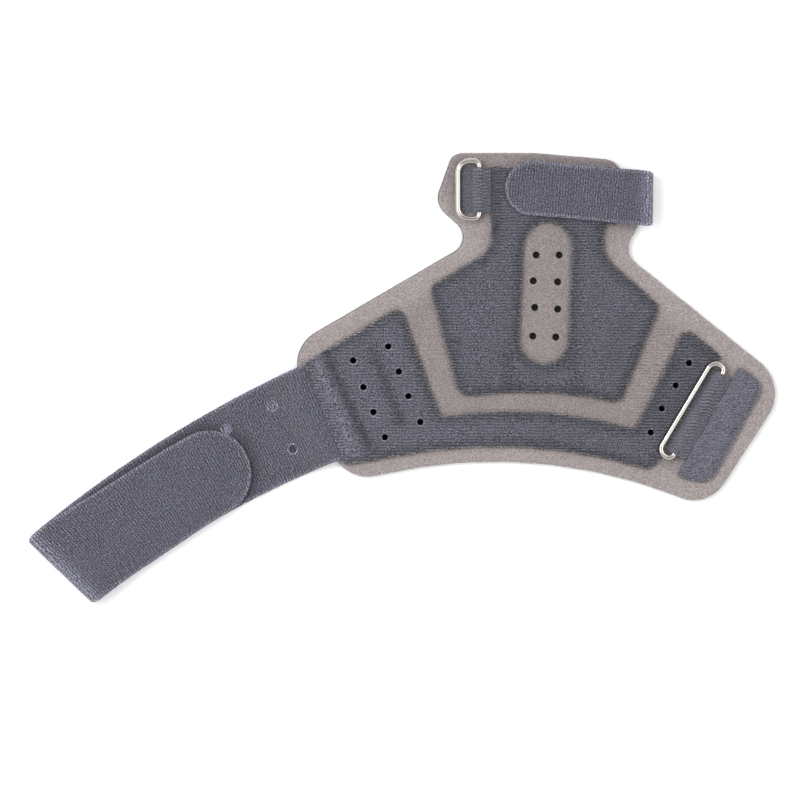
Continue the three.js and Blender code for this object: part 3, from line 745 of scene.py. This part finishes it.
def maths(tree, operation, a, b=0.0, c=0.0):
    """Result of a Math node."""
    return node(tree, "Math", {0: a, 1: b, 2: c}, operation=operation).outputs[0]


def ramp(tree, value, low, high, to_low=0.0, to_high=1.0):
    """A value mapped smoothly from one range to another."""
    inputs = {0: value, 1: low, 2: high, 3: to_low, 4: to_high}
    return node(tree, "MapRange", inputs, interpolation_type="SMOOTHSTEP").outputs[0]


def attribute(tree, name):
    """Value of a mesh attribute."""
    return node(tree, "Attribute", attribute_name=name).outputs["Fac"]


def blend(tree, share, first, second):
    """The first colour mixed with the second by the share."""
    return node(tree, "Mix", {0: share, 6: first, 7: second}, data_type="RGBA").outputs[2]


def new_group(name, inputs, outputs):
    """An empty node group with named sockets, and its input and output nodes.

    A socket holds a number or a colour, as its starting value does, or a vector if that is None.
    """
    kinds = {float: "NodeSocketFloat", tuple: "NodeSocketColor", type(None): "NodeSocketVector"}
    tree = bpy.data.node_groups.new(name, "ShaderNodeTree")
    for label, value in inputs.items():
        socket = tree.interface.new_socket(label, in_out="INPUT", socket_type=kinds[type(value)])
        if value is not None:
            socket.default_value = value
    for label, value in outputs.items():
        tree.interface.new_socket(label, in_out="OUTPUT", socket_type=kinds[type(value)])
    return tree, tree.nodes.new("NodeGroupInput").outputs, tree.nodes.new("NodeGroupOutput")


def noise(tree, vector, scale, detail=2.0, roughness=0.5):
    """Fac of a noise texture."""
    inputs = {"Vector": vector, "Scale": scale, "Detail": detail, "Roughness": roughness}
    return node(tree, "TexNoise", inputs).outputs["Fac"]


def stretched(tree, vector, scale):
    """Vector times a scale for each axis, which also turns metres into millimetres."""
    factor = tuple(s / METRES for s in scale)
    return node(tree, "VectorMath", {0: vector, 1: factor}, operation="MULTIPLY").outputs[0]


def flecks(tree, vector, stretch, low, high):
    """Crisp flecks between -1 and 1: noise of a stretched vector with its middle range spread out."""
    spots = noise(tree, stretched(tree, vector, stretch), 1.0, 3.0, 0.6)
    return ramp(tree, spots, low, high, -1.0, 1.0)


def rib_group():
    """Ribs of a knit: narrow dark valleys across the rows with a slow wander, broken up, and flecks."""
    inputs = {"Vector": None, "Pitch": 1.2, "Wander": 1.6, "Relief": 0.5, "Fleck": 0.4}
    tree, given, out = new_group("Knit ribs", inputs, {"Height": 0.0, "Shade": 1.0})
    flat = stretched(tree, given["Vector"], (1, 1, 1))
    wander = maths(tree, "SUBTRACT", noise(tree, flat, 0.34, 3.0), 0.5)
    wander = maths(tree, "MULTIPLY", wander, given["Wander"])
    row = node(tree, "SeparateXYZ", {0: flat}).outputs[1]
    phase = maths(tree, "DIVIDE", maths(tree, "ADD", row, wander), given["Pitch"])
    wave = maths(tree, "SINE", maths(tree, "MULTIPLY", phase, 2 * np.pi))
    loops = noise(tree, stretched(tree, given["Vector"], (0.45, 1.0, 0.45)), 1.0, 3.0, 0.6)
    broken = maths(tree, "MULTIPLY", ramp(tree, loops, 0.34, 0.54, 0.25, 1.0), given["Relief"])
    valley = maths(tree, "MULTIPLY", ramp(tree, wave, -1.0, 0.6, 1.0, -0.45), broken)
    fleck = flecks(tree, given["Vector"], (1.75, 3.0, 2.1), 0.38, 0.62)
    tuft = flecks(tree, given["Vector"], (0.8, 2.2, 1.2), 0.34, 0.66)
    blotch = maths(tree, "SUBTRACT", noise(tree, flat, 0.12, 2.0), 0.5)
    height = maths(tree, "MULTIPLY_ADD", fleck, 0.35, maths(tree, "MULTIPLY", valley, -1.0))
    shade = maths(tree, "MULTIPLY_ADD", fleck, given["Fleck"], 1.0)
    shade = maths(tree, "MULTIPLY_ADD", tuft, 0.20, shade)
    shade = maths(tree, "MULTIPLY_ADD", valley, -0.52, shade)
    shade = maths(tree, "MULTIPLY_ADD", blotch, 0.22, shade)
    tree.links.new(height, out.inputs["Height"])
    tree.links.new(maths(tree, "MAXIMUM", shade, 0.12), out.inputs["Shade"])
    return tree


def nap_group():
    """Nap of suede: fine flecks, large faint clouds, and weak ribs where it is drawn in beside a panel."""
    inputs = {"Vector": None, "Relief": 0.0}
    tree, given, out = new_group("Suede nap", inputs, {"Height": 0.0, "Shade": 1.0})
    flat = stretched(tree, given["Vector"], (1, 1, 1))
    fleck = flecks(tree, given["Vector"], (2.2, 2.8, 2.4), 0.38, 0.62)
    cloud = maths(tree, "SUBTRACT", noise(tree, flat, 0.06, 2.0), 0.5)
    drift = maths(tree, "MULTIPLY", noise(tree, flat, 0.3, 3.0), 2.0)
    row = maths(tree, "ADD", node(tree, "SeparateXYZ", {0: flat}).outputs[1], drift)
    wave = maths(tree, "SINE", maths(tree, "MULTIPLY", row, 2 * np.pi / 1.3))
    loops = noise(tree, stretched(tree, given["Vector"], (0.4, 0.9, 0.4)), 1.0, 2.0)
    ribs = maths(tree, "MULTIPLY", wave, ramp(tree, loops, 0.36, 0.54))
    ribs = maths(tree, "MULTIPLY", ribs, given["Relief"])
    height = maths(tree, "MULTIPLY_ADD", fleck, 0.5, ribs)
    shade = maths(tree, "MULTIPLY_ADD", fleck, 0.36, maths(tree, "MULTIPLY_ADD", ribs, 0.36, 1.0))
    shade = maths(tree, "MULTIPLY_ADD", cloud, 0.12, shade)
    tree.links.new(height, out.inputs["Height"])
    tree.links.new(shade, out.inputs["Shade"])
    return tree


def edge_group():
    """Worn look and painted shade along cut edges and hole rims: a pale line, a ragged fringe in its own
    colour, a near-black core on cut faces, which in holes also stands for their shade, and painted shade
    on the sloping sides near an edge.

    Edge and hole are distances in millimetres from the nearest cut edge and hole, cut is 1 on cut faces,
    and the fourth attribute is painted shade, painted light where it is below zero. Darker tones turn bluer.
    """
    inputs = {
        "Color": (0.5, 0.5, 0.5, 1),
        "Shade": 1.0,
        "Edge pale": 0.2,
        "Edge width": 0.8,
        "Slope dark": 0.1,
        "Hole pale": 0.2,
        "Core": (0.02, 0.02, 0.02, 1),
        "Fringe": (0.02, 0.02, 0.02, 1),
        "Fringe width": 0.0,
    }
    tree, given, out = new_group("Edge wear", inputs, {"Color": (0.5, 0.5, 0.5, 1)})
    edge, hole, cut, painted_shading = (attribute(tree, name) for name in ("edge", "hole", "cut", "painted_shading"))
    line = ramp(tree, maths(tree, "DIVIDE", edge, given["Edge width"]), 0.2, 1.0, 1.0, 0.0)
    slope = ramp(tree, edge, 0.6, 6.0, 1.0, 0.0)
    rim = ramp(tree, maths(tree, "ABSOLUTE", maths(tree, "SUBTRACT", hole, 0.35)), 0.1, 0.6, 1.0, 0.0)
    tone = maths(tree, "MULTIPLY_ADD", line, given["Edge pale"], 1.0)
    tone = maths(tree, "MULTIPLY_ADD", rim, given["Hole pale"], tone)
    tone = maths(tree, "SUBTRACT", tone, maths(tree, "MULTIPLY", slope, given["Slope dark"]))
    tone = maths(tree, "MULTIPLY", maths(tree, "SUBTRACT", tone, painted_shading), given["Shade"])
    ragged = maths(tree, "MULTIPLY_ADD", maths(tree, "SUBTRACT", given["Shade"], 1.0), -0.7, edge)
    fringe = ramp(tree, ragged, 0.0, given["Fringe width"], 1.0, 0.0)
    own = blend(tree, fringe, given["Color"], given["Fringe"])
    bluer = maths(tree, "POWER", maths(tree, "MAXIMUM", tone, 0.05), 0.83)
    tint = node(tree, "CombineXYZ", {0: tone, 1: tone, 2: maths(tree, "MAXIMUM", tone, bluer)}).outputs[0]
    color = node(tree, "VectorMath", {0: own, 1: tint}, operation="MULTIPLY").outputs[0]
    mixed = blend(tree, ramp(tree, cut, 0.25, 0.9), color, given["Core"])
    tree.links.new(mixed, out.inputs["Color"])
    return tree


def new_material(name, roughness, sheen=0.0):
    """A material whose Principled shader has its constants set, with its tree and shader."""
    material = bpy.data.materials.new(name)
    material.use_nodes = True
    tree = material.node_tree
    shader = tree.nodes["Principled BSDF"]
    shader.inputs["Roughness"].default_value = roughness
    shader.inputs["Specular IOR Level"].default_value = 0.25
    shader.inputs["Sheen Weight"].default_value = sheen
    shader.inputs["Sheen Roughness"].default_value = 0.55
    return material, tree, shader


def finish_surface(tree, shader, color, height, depth):
    """Links a colour and a bump of that depth in metres to the shader."""
    tree.links.new(color, shader.inputs["Base Color"])
    bump = node(tree, "Bump", {"Height": height, "Distance": depth, "Strength": 1.0})
    tree.links.new(bump.outputs[0], shader.inputs["Normal"])


def placed_group(tree, group, inputs):
    """A node group in a tree, with its inputs given as values or sockets."""
    return node(tree, "Group", inputs, node_tree=group).outputs


def knit_material(name, color, pitch, wander, relief, fleck, edge_pale=0.0, edge_width=0.9, slope_shade=0.0,
                  hole_pale=0.2, fringe=0.0, flat_cut=False):
    """Brushed knit whose ribs stand out more where the attribute relief is high."""
    material, tree, shader = new_material(name, 0.92, 0.25)
    if flat_cut:
        cut = node(tree, "UVMap", uv_map="Flat cut").outputs[0]
        parts = node(tree, "SeparateXYZ", {0: cut}).outputs
        vector = node(tree, "CombineXYZ", {0: parts[1], 1: parts[0]}).outputs[0]
    else:
        vector = node(tree, "TexCoord").outputs["Object"]
    strength = maths(tree, "MULTIPLY_ADD", attribute(tree, "relief"), relief[1] - relief[0], relief[0])
    ribs = placed_group(tree, ribs_shared, {
        "Vector": vector,
        "Pitch": pitch,
        "Wander": wander,
        "Relief": strength,
        "Fleck": fleck,
    })
    # Besides the worn edge and fringe, the edge group paints shade on the slopes and where the mesh's
    # attribute asks
    wear_and_shade = placed_group(tree, edge_shared, {
        "Color": (*color, 1),
        "Shade": ribs["Shade"],
        "Edge pale": edge_pale,
        "Edge width": edge_width,
        "Slope dark": slope_shade,
        "Hole pale": hole_pale,
        "Core": (0.012, 0.012, 0.014, 1),
        "Fringe": (*(TAUPE if fringe else color), 1),
        "Fringe width": max(fringe, 0.001),
    })
    finish_surface(tree, shader, wear_and_shade["Color"], ribs["Height"], 0.00028)
    return material


def suede_material(name, color, edge_pale, core):
    """Suede with its nap, paler where the cut edge is worn, and with the painted light and shade that its
    mesh's attribute asks for.
    """
    material, tree, shader = new_material(name, 0.95, 0.2)
    vector = node(tree, "TexCoord").outputs["Object"]
    nap = placed_group(tree, nap_shared, {"Vector": vector, "Relief": attribute(tree, "relief")})
    wear_and_shade = placed_group(tree, edge_shared, {
        "Color": (*color, 1),
        "Shade": nap["Shade"],
        "Edge pale": edge_pale,
        "Edge width": 1.4,
        "Slope dark": 0.0,
        "Hole pale": 0.03,
        "Core": (*core, 1),
        "Fringe": (*color, 1),
        "Fringe width": 0.001,
    })
    finish_surface(tree, shader, wear_and_shade["Color"], nap["Height"], 0.00014)
    return material


def nickel_material():
    """Polished nickel plate with faint smears and hairline scratches."""
    material, tree, shader = new_material("Ring nickel", 0.14)
    shader.inputs["Metallic"].default_value = 1.0
    shader.inputs["Specular IOR Level"].default_value = 0.5
    vector = node(tree, "TexCoord").outputs["Object"]
    smear = noise(tree, stretched(tree, vector, (1, 1, 1)), 0.35, 3.0)
    hairline = noise(tree, stretched(tree, vector, (3.2, 0.25, 0.6)), 1.0, 2.0, 0.6)
    tree.links.new(ramp(tree, smear, 0.35, 0.75, 0.06, 0.15), shader.inputs["Roughness"])
    tone = blend(tree, smear, (0.57, 0.53, 0.485, 1), (0.68, 0.64, 0.59, 1))
    tree.links.new(tone, shader.inputs["Base Color"])
    bump = node(tree, "Bump", {"Height": hairline, "Distance": 0.00001, "Strength": 0.25})
    tree.links.new(bump.outputs[0], shader.inputs["Normal"])
    return material


ribs_shared = rib_group()
nap_shared = nap_group()
edge_shared = edge_group()

SLATE = (0.114, 0.113, 0.143)
STRAP_SLATE = (0.112, 0.111, 0.144)
PATCH_SLATE = (0.156, 0.154, 0.192)
SLEEVE_SLATE = (0.136, 0.135, 0.170)
TAUPE = (0.287, 0.252, 0.244)
# Slope shade is painted shade on a cushion's rounded sides near its cut edge
panel_knit = knit_material("Panel knit", SLATE, pitch=1.28, wander=1.5, relief=(1.0, 2.5), fleck=1.15,
                           edge_pale=0.12, slope_shade=0.46, hole_pale=0.5, fringe=0.2)
patch_knit = knit_material("Patch knit", PATCH_SLATE, pitch=1.15, wander=2.4, relief=(0.4, 0.7), fleck=0.5,
                           slope_shade=0.12, fringe=0.4)
sleeve_knit = knit_material("Sleeve knit", SLEEVE_SLATE, pitch=1.42, wander=1.2, relief=(0.4, 1.4), fleck=0.5)
strap_knit = knit_material("Strap knit", STRAP_SLATE, pitch=1.2, wander=1.8, relief=(1.1, 2.0), fleck=1.5,
                           edge_pale=0.75, edge_width=2.0, hole_pale=1.4, flat_cut=True)
pad_suede = suede_material("Pad suede", TAUPE, edge_pale=0.06, core=(0.03, 0.028, 0.027))
# Near black, so that the bottoms of the pad's holes show as painted shade
lining = knit_material("Lining", (0.005, 0.005, 0.005), pitch=1.0, wander=1.2, relief=(0.4, 0.8), fleck=0.3,
                       edge_pale=0.1, hole_pale=0.1)
nickel = nickel_material()

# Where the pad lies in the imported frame

pad_low, pad_high = (np.array(corner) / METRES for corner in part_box("base_pad"))
pad_outline = rounded_outline(corner_table(PAD_CORNERS))
origin = (pad_low[:2] + pad_high[:2]) / 2 - (pad_outline.min(0) + pad_outline.max(0)) / 2


# Pieces


def cut_edge(corners, insets, spacing, waver):
    """Loops inward from the cut edge of a rounded outline."""
    return border(lambda inset: rounded_outline(corners, inset), insets, spacing, waver)


def two_sheets(xy, top, bottom):
    """Points of an upper and of a lower sheet over the same plan."""
    levels = [np.broadcast_to(level, len(xy)) for level in (top, bottom)]
    return np.concatenate([np.column_stack([xy, level]) for level in levels])


def build_pad():
    """Suede ply: flat sheet with rounded cut edges, dented a little round every hole.

    It gets painted light along its margin, but not at the top, where it gets a little painted shade, and
    weak ribs show beside the panels low on its sides, where the suede is drawn in.
    """
    edge = cut_edge(corner_table(PAD_CORNERS), [0, 0.12, 0.35, 0.7, 1.2, 2.0], 0.45, 0.22)
    rows = [0.15, 0.4, 0.9]
    holes = [round_border(at, WINDOW_HOLE, rows) for at in on_body(WINDOW_HOLES)]
    holes += [round_border(at, BAND_HOLE, rows) for at in on_body(BAND_HOLES)]
    plan = layout([edge], holes, (1.1, 1.0))
    xy = plan["xy"]
    x, y = xy.T
    swell = 0.06 * uneven(xy, 24, 0.9) * smooth(plan["edge"], 1, 8)
    rounded = (PAD_TOP - BACKING_TOP) * edge_round(plan["edge"], 0.9, 0.62)
    top = BACKING_TOP + rounded - 0.30 * bell(plan["hole"], 0.45) + swell
    panels = [rounded_outline(corner_table(rows)) for rows in (THUMB_PANEL_CORNERS, BAND_CORNERS)]
    beside = bell(distance_to_loops(xy, panels), 4.6) * smooth(sideways_lean(xy, panels), 0.45, 0.95)
    low_side = 1 - smooth(y, *on_body([(0, -0.02), (0, 0.09)])[:, 1])
    # Painted light along the margin, except at the top, and a little painted shade near the top
    top_edge = pad_outline[:, 1].max()
    margin = (1 - smooth(plan["edge"], 6, 15)) * (1 - smooth(y, top_edge - 26, top_edge - 9))
    far_top = smooth(y, top_edge - 18, top_edge - 6) * smooth(x, -18, 8)
    attributes = {
        "edge": plan["edge"],
        "hole": plan["hole"],
        "cut": np.append(plan["hole"] < ON_WALL, np.ones(len(xy))),
        "relief": beside * low_side * (0.45 + 0.55 * smooth(x, 0, 30)),
        "painted_shading": 0.05 * far_top - 0.26 * margin,
    }
    points = two_sheets(xy, top, BACKING_TOP)
    add_piece("pad_suede_ply", points, closed_faces(plan), pad_suede, "base_pad", attributes)


def build_backing():
    """Dark lining ply under the suede, cut a little proud of it on one side.

    Its near-black colour also stands in for the shade at the bottom of the pad's holes.
    """
    edge = cut_edge(corner_table(PAD_CORNERS), [0, 0.15, 0.4, 1.0], 0.9, 0.12)
    plan = layout([edge], [], (2.4, 2.4))
    middle = BACKING_TOP / 2
    half = middle * edge_round(plan["edge"], 0.5, 0.5)
    points = two_sheets(plan["xy"] + BACKING_SHIFT, middle + half - 0.01, middle - half)
    attributes = {"edge": plan["edge"], "hole": plan["hole"], "cut": 0.0, "relief": 0.5}
    add_piece("pad_lining_ply", points, closed_faces(plan), lining, None, attributes)


def build_cushion(name, corners, material, node_name, height, seed, window=None, holes=(), grooves=(),
                  shades=(), roll=None, strap=None, seam=None, wire=None):
    """Raised knit cushion: a quarter round from its rim up to a level top that swells a little.

    Its height is the rim plus the rest times the quarter round of the distance from the edge, less the
    pressed grooves and the dents at holes, plus the roll over a strap's root, under the wire's trough.
    The grooves and the shade bands get painted shade, the roll gets painted light and the band is a little
    lighter towards its left end, and its cut edge is not worn pale or given painted slope shade over a
    strap's root or under the sleeve that is sewn to it.
    """
    insets = [0, 0.06, 0.16, 0.32, 0.55, 0.85, 1.2, 1.6, 2.1, 2.65, 3.2]
    edges = [cut_edge(corner_table(corners), insets, 0.42, 0.34)]
    if window:
        edges.append(border(window, insets, 0.42, 0.26))
    walls = [round_border(on_body(share), BAND_HOLE, [0.12, 0.3, 0.6, 1.0]) for share in holes]
    plan = layout(edges, walls, (0.85, 0.6))
    xy = plan["xy"]
    gap = plan["edge"]
    none = np.zeros(len(xy))
    cover, run = root_cover(xy, strap) if strap else (none, none)
    pressed = sum((groove(xy, line) for line in grooves), none)
    shaded = sum((groove(xy, line) for line in shades), none)
    rolled = groove(xy, roll) if roll else none
    floor = PANEL_FLOOR + cover * (strap_depth(np.clip(run, 0, 30)) + 0.15)
    foot = floor + PANEL_RIM - 0.68 * cover
    full = PANEL_FLOOR + height + 0.16 * smooth(gap, 3, 12) + 0.05 * uneven(xy, 15, seed) - pressed + rolled
    top = foot + (full - foot) * edge_round(gap, PANEL_SLOPE + 4.0 * cover, 0.0)
    pucker = bell(gap - 2.2, 1.8) * (0.55 + 0.45 * uneven(xy, 11, seed + 2))
    top += 0.07 * pucker * np.sin(2 * np.pi * (xy[:, 1] + 0.8 * uneven(xy, 9, seed + 1)) / 2.5)
    top -= 0.42 * bell(plan["hole"], 0.5)
    if wire:
        top = np.minimum(top, ring_trough(xy, wire))
    top = np.maximum(top, floor + 0.25)
    hidden = cover > 0.5
    if seam:
        ends = on_body(seam["line"])
        hidden |= distance_to(xy, ends[:1], ends[1:]) < SLEEVE_COVER
    lean = sideways_lean(xy, [edge[0] for edge in edges])
    relief = bell(gap - 2.2, 3.0) * (0.3 + 0.7 * smooth(lean, 0.3, 0.9)) + 0.8 * pressed + 2.6 * shaded
    # Painted shade in the grooves and shade bands; painted light on the roll and towards the left end
    painted_shading = 0.66 * pressed + shaded
    if roll:
        painted_shading -= 0.20 * rolled / roll[3] + 0.09 * (1 - smooth(xy[:, 0], -40, 0))
        relief -= 0.9 * rolled / roll[3]
    attributes = {
        "edge": np.where(hidden, NO_EDGE, gap),
        "hole": plan["hole"],
        "cut": plan["hole"] < ON_WALL,
        "relief": np.clip(relief, -0.5, 1),
        "painted_shading": painted_shading,
    }
    points = two_sheets(xy, top, floor)
    add_piece(name, points, closed_faces(plan), material, node_name, attributes)


def strap_pit(away):
    """1 within a strap hole's pit and 0 outside of it, with a soft rim."""
    return 1 - smooth(away, STRAP_HOLE - 0.2, STRAP_HOLE + 0.1)


def build_strap(name, strap, holes=()):
    """Hook-and-loop strap: its flat cut as a thin sheet with round edges, carried along the folded path.

    A hole is a shallow pit with a raised rim and a fine bore in its middle, with painted shade in the
    pit that turns to painted light where its value is below zero. The lower layer gets a painted shadow
    round the flap's tip, and the cloth gets painted light at the fold.
    """
    path = strap_path(strap)
    fold = np.argmax(path[1])
    length = path[0][-1]
    fold_run = path[0][fold]
    stations = np.linspace(0, length, 14)
    half = strap_half_width(strap, path, stations)
    tip = half[-1]
    side = np.column_stack([stations, half, np.full(len(stations), NEARLY_STRAIGHT)])
    side[[0, -1], 2] = 0.5, tip * 0.999
    side = np.delete(side, -2, 0)
    corners = np.concatenate([side * (1, -1, 1), side[::-1]])
    edge = cut_edge(corners, [0, 0.05, 0.16, 0.34, 0.6, 0.95, 1.4], 0.7, 0.10)
    spots = np.reshape(holes, (-1, 3))
    centres = np.column_stack([
        np.interp(spots[:, 0] * strap["lower"], path[1][:fold], path[0][:fold]),
        spots[:, 1] * strap["width"],
    ])
    rings = [0.75, 1.25, 1.4, 1.5, 1.6, 1.75, 2.0, 2.4, 2.9]
    plan = layout([edge], [round_border(at, PIN_BORE, rings, sides=24) for at in centres], (0.7, 0.9))
    flat = plan["xy"]
    run, across = flat.T
    rim_gap = plan["hole"] + PIN_BORE - STRAP_HOLE
    half_depth = strap_depth(run) / 2 * edge_round(plan["edge"], 1.0, 0.35)
    rim = 0.22 * bell(rim_gap - 0.45, 0.4) - 1.1 * strap_pit(plan["hole"] + PIN_BORE)
    ripple = 0.04 * np.sin(2 * np.pi * (run + 0.7 * uneven(flat, 9, 2.2)) / 2.4)
    cloth = (ripple + 0.03 * uneven(flat, 7, 1.3)) * smooth(plan["edge"], 0, 1.2)
    lifts = (half_depth + rim + cloth, -half_depth - cloth)
    points = np.concatenate([carry(strap, path, flat, lift) for lift in lifts])
    # Painted shadow of the flap's tip on the lower layer, and painted light at the fold
    tip_middle = strap["lower"] - strap["upper"] + tip
    beyond = np.hypot(np.minimum(run - tip_middle, 0), across - strap["flap_slip"]) - tip
    beside = bell(np.maximum(beyond, 0), 4.0) * (beyond > -0.5) * (run < fold_run - 30)
    painted_shading = 0.46 * beside * (strap["lower"] > strap["upper"]) - bell(run - fold_run - 2.2, 3.6)
    for at, dark in zip(centres, spots[:, 2]):
        painted_shading += dark * strap_pit(np.hypot(*(flat - at).T))
    attributes = {
        "edge": plan["edge"],
        "hole": rim_gap,
        "cut": 0.0,
        "relief": 0.5 + 0.5 * uneven(flat, 26, 0.4),
        "painted_shading": painted_shading,
    }
    piece = add_piece(name, points, closed_faces(plan), strap_knit, name, attributes, uv=flat)
    size = (2 * half.max() * METRES, length * METRES)
    area = abs(cross(edge[0], after(edge[0])).sum()) / 2 * METRES**2
    return piece, size, min(area, size[0] * size[1])


build_pad()
build_backing()
build_cushion("thumb_panel_knit", THUMB_PANEL_CORNERS, panel_knit, "thumb_panel", PANEL_HEIGHT, seed=1.3,
              window=slot_outline, grooves=THUMB_PANEL_GROOVES, shades=THUMB_PANEL_SHADES,
              strap=THUMB_STRAP, seam=THUMB_RING)
build_cushion("wrist_band_knit", BAND_CORNERS, panel_knit, "wrist_band", PANEL_HEIGHT, seed=2.1,
              holes=BAND_HOLES, grooves=BAND_GROOVES, shades=BAND_SHADES, roll=ROOT_ROLL,
              strap=WRIST_STRAP, wire=WRIST_RING)
build_cushion("end_patch_knit", PATCH_CORNERS, patch_knit, "end_patch", PATCH_HEIGHT, seed=3.4,
              seam=WRIST_RING)
build_sleeve("wrist_ring_sleeve", WRIST_RING)
build_sleeve("thumb_ring_sleeve", THUMB_RING)
build_ring("wrist_ring", WRIST_RING, "wrist_loop")
build_ring("thumb_ring", THUMB_RING, "thumb_loop")

wrist_strap, flat, area = build_strap("wrist_strap", WRIST_STRAP, STRAP_HOLES)
thumb_strap, flat, area = build_strap("thumb_strap", THUMB_STRAP)


# Floor, light and camera


def build_floor():
    """Plain pale floor with a faint matt mottle."""
    mesh = bpy.data.meshes.new("floor")
    corners = np.array([(-1, -1, 0), (1, -1, 0), (1, 1, 0), (-1, 1, 0)]) * (4.0, 4.0, 1.0)
    mesh.from_pydata((corners - (0, 0, 0.0002)).tolist(), [], [(0, 1, 2, 3)])
    material, tree, shader = new_material("Floor", 0.7)
    cloud = noise(tree, node(tree, "TexCoord").outputs["Object"], 3.0)
    tone = blend(tree, cloud, (0.94, 0.94, 0.94, 1), (0.96, 0.96, 0.955, 1))
    tree.links.new(tone, shader.inputs["Base Color"])
    shader.inputs["Emission Color"].default_value = (1, 1, 1, 1)
    shader.inputs["Emission Strength"].default_value = 0.10
    mesh.materials.append(material)
    floor = bpy.data.objects.new("floor", mesh)
    bpy.context.scene.collection.objects.link(floor)


def add_light(name, place, aim, size, power):
    """A square soft light that faces a point."""
    lamp = bpy.data.lights.new(name, "AREA")
    lamp.shape = "SQUARE"
    lamp.size = size
    lamp.energy = power
    light = bpy.data.objects.new(name, lamp)
    light.location = place
    direction = np.array(aim) - np.array(place)
    flat = np.hypot(*direction[:2])
    light.rotation_euler = (np.arctan2(flat, -direction[2]), 0, np.arctan2(-direction[0], direction[1]))
    bpy.context.scene.collection.objects.link(light)


CAMERA_POINT = (-0.00152, -0.00874)
CAMERA_HEIGHT = 3.0
VIEW_WIDTH = 0.348
SENSOR = 36

camera_data = bpy.data.cameras.new("photo_camera")
camera_data.sensor_width = SENSOR
camera_data.lens = SENSOR * CAMERA_HEIGHT / VIEW_WIDTH
camera = bpy.data.objects.new("photo_camera", camera_data)
camera.location = (*CAMERA_POINT, CAMERA_HEIGHT)
bpy.context.scene.collection.objects.link(camera)
bpy.context.scene.camera = camera

build_floor()
add_light("left_softbox", (-1.0, 0.1, 1.5), (0, 0, 0), 1.3, 9.5)
add_light("right_softbox", (1.0, 0.1, 1.5), (0, 0, 0), 1.3, 8)
add_light("key_lamp", (-0.85, 0.55, 1.4), (0, 0, 0), 0.4, 6.5)


def build_world():
    """Pale room, darker near the horizon and straight above, so polished wire shows thin dark lines."""
    world = bpy.data.worlds.new("Studio")
    world.use_nodes = True
    tree = world.node_tree
    up = node(tree, "SeparateXYZ", {0: node(tree, "TexCoord").outputs["Generated"]}).outputs[2]
    bright = maths(tree, "SUBTRACT", ramp(tree, up, 0.08, 0.34), ramp(tree, up, 0.93, 0.975, 0.0, 0.85))
    tone = blend(tree, bright, (0.05, 0.045, 0.04, 1), (0.98, 0.99, 1.0, 1))
    tree.links.new(tone, tree.nodes["Background"].inputs["Color"])
    tree.nodes["Background"].inputs["Strength"].default_value = 0.86
    bpy.context.scene.world = world


build_world()
bpy.context.scene.view_settings.view_transform = "Standard"
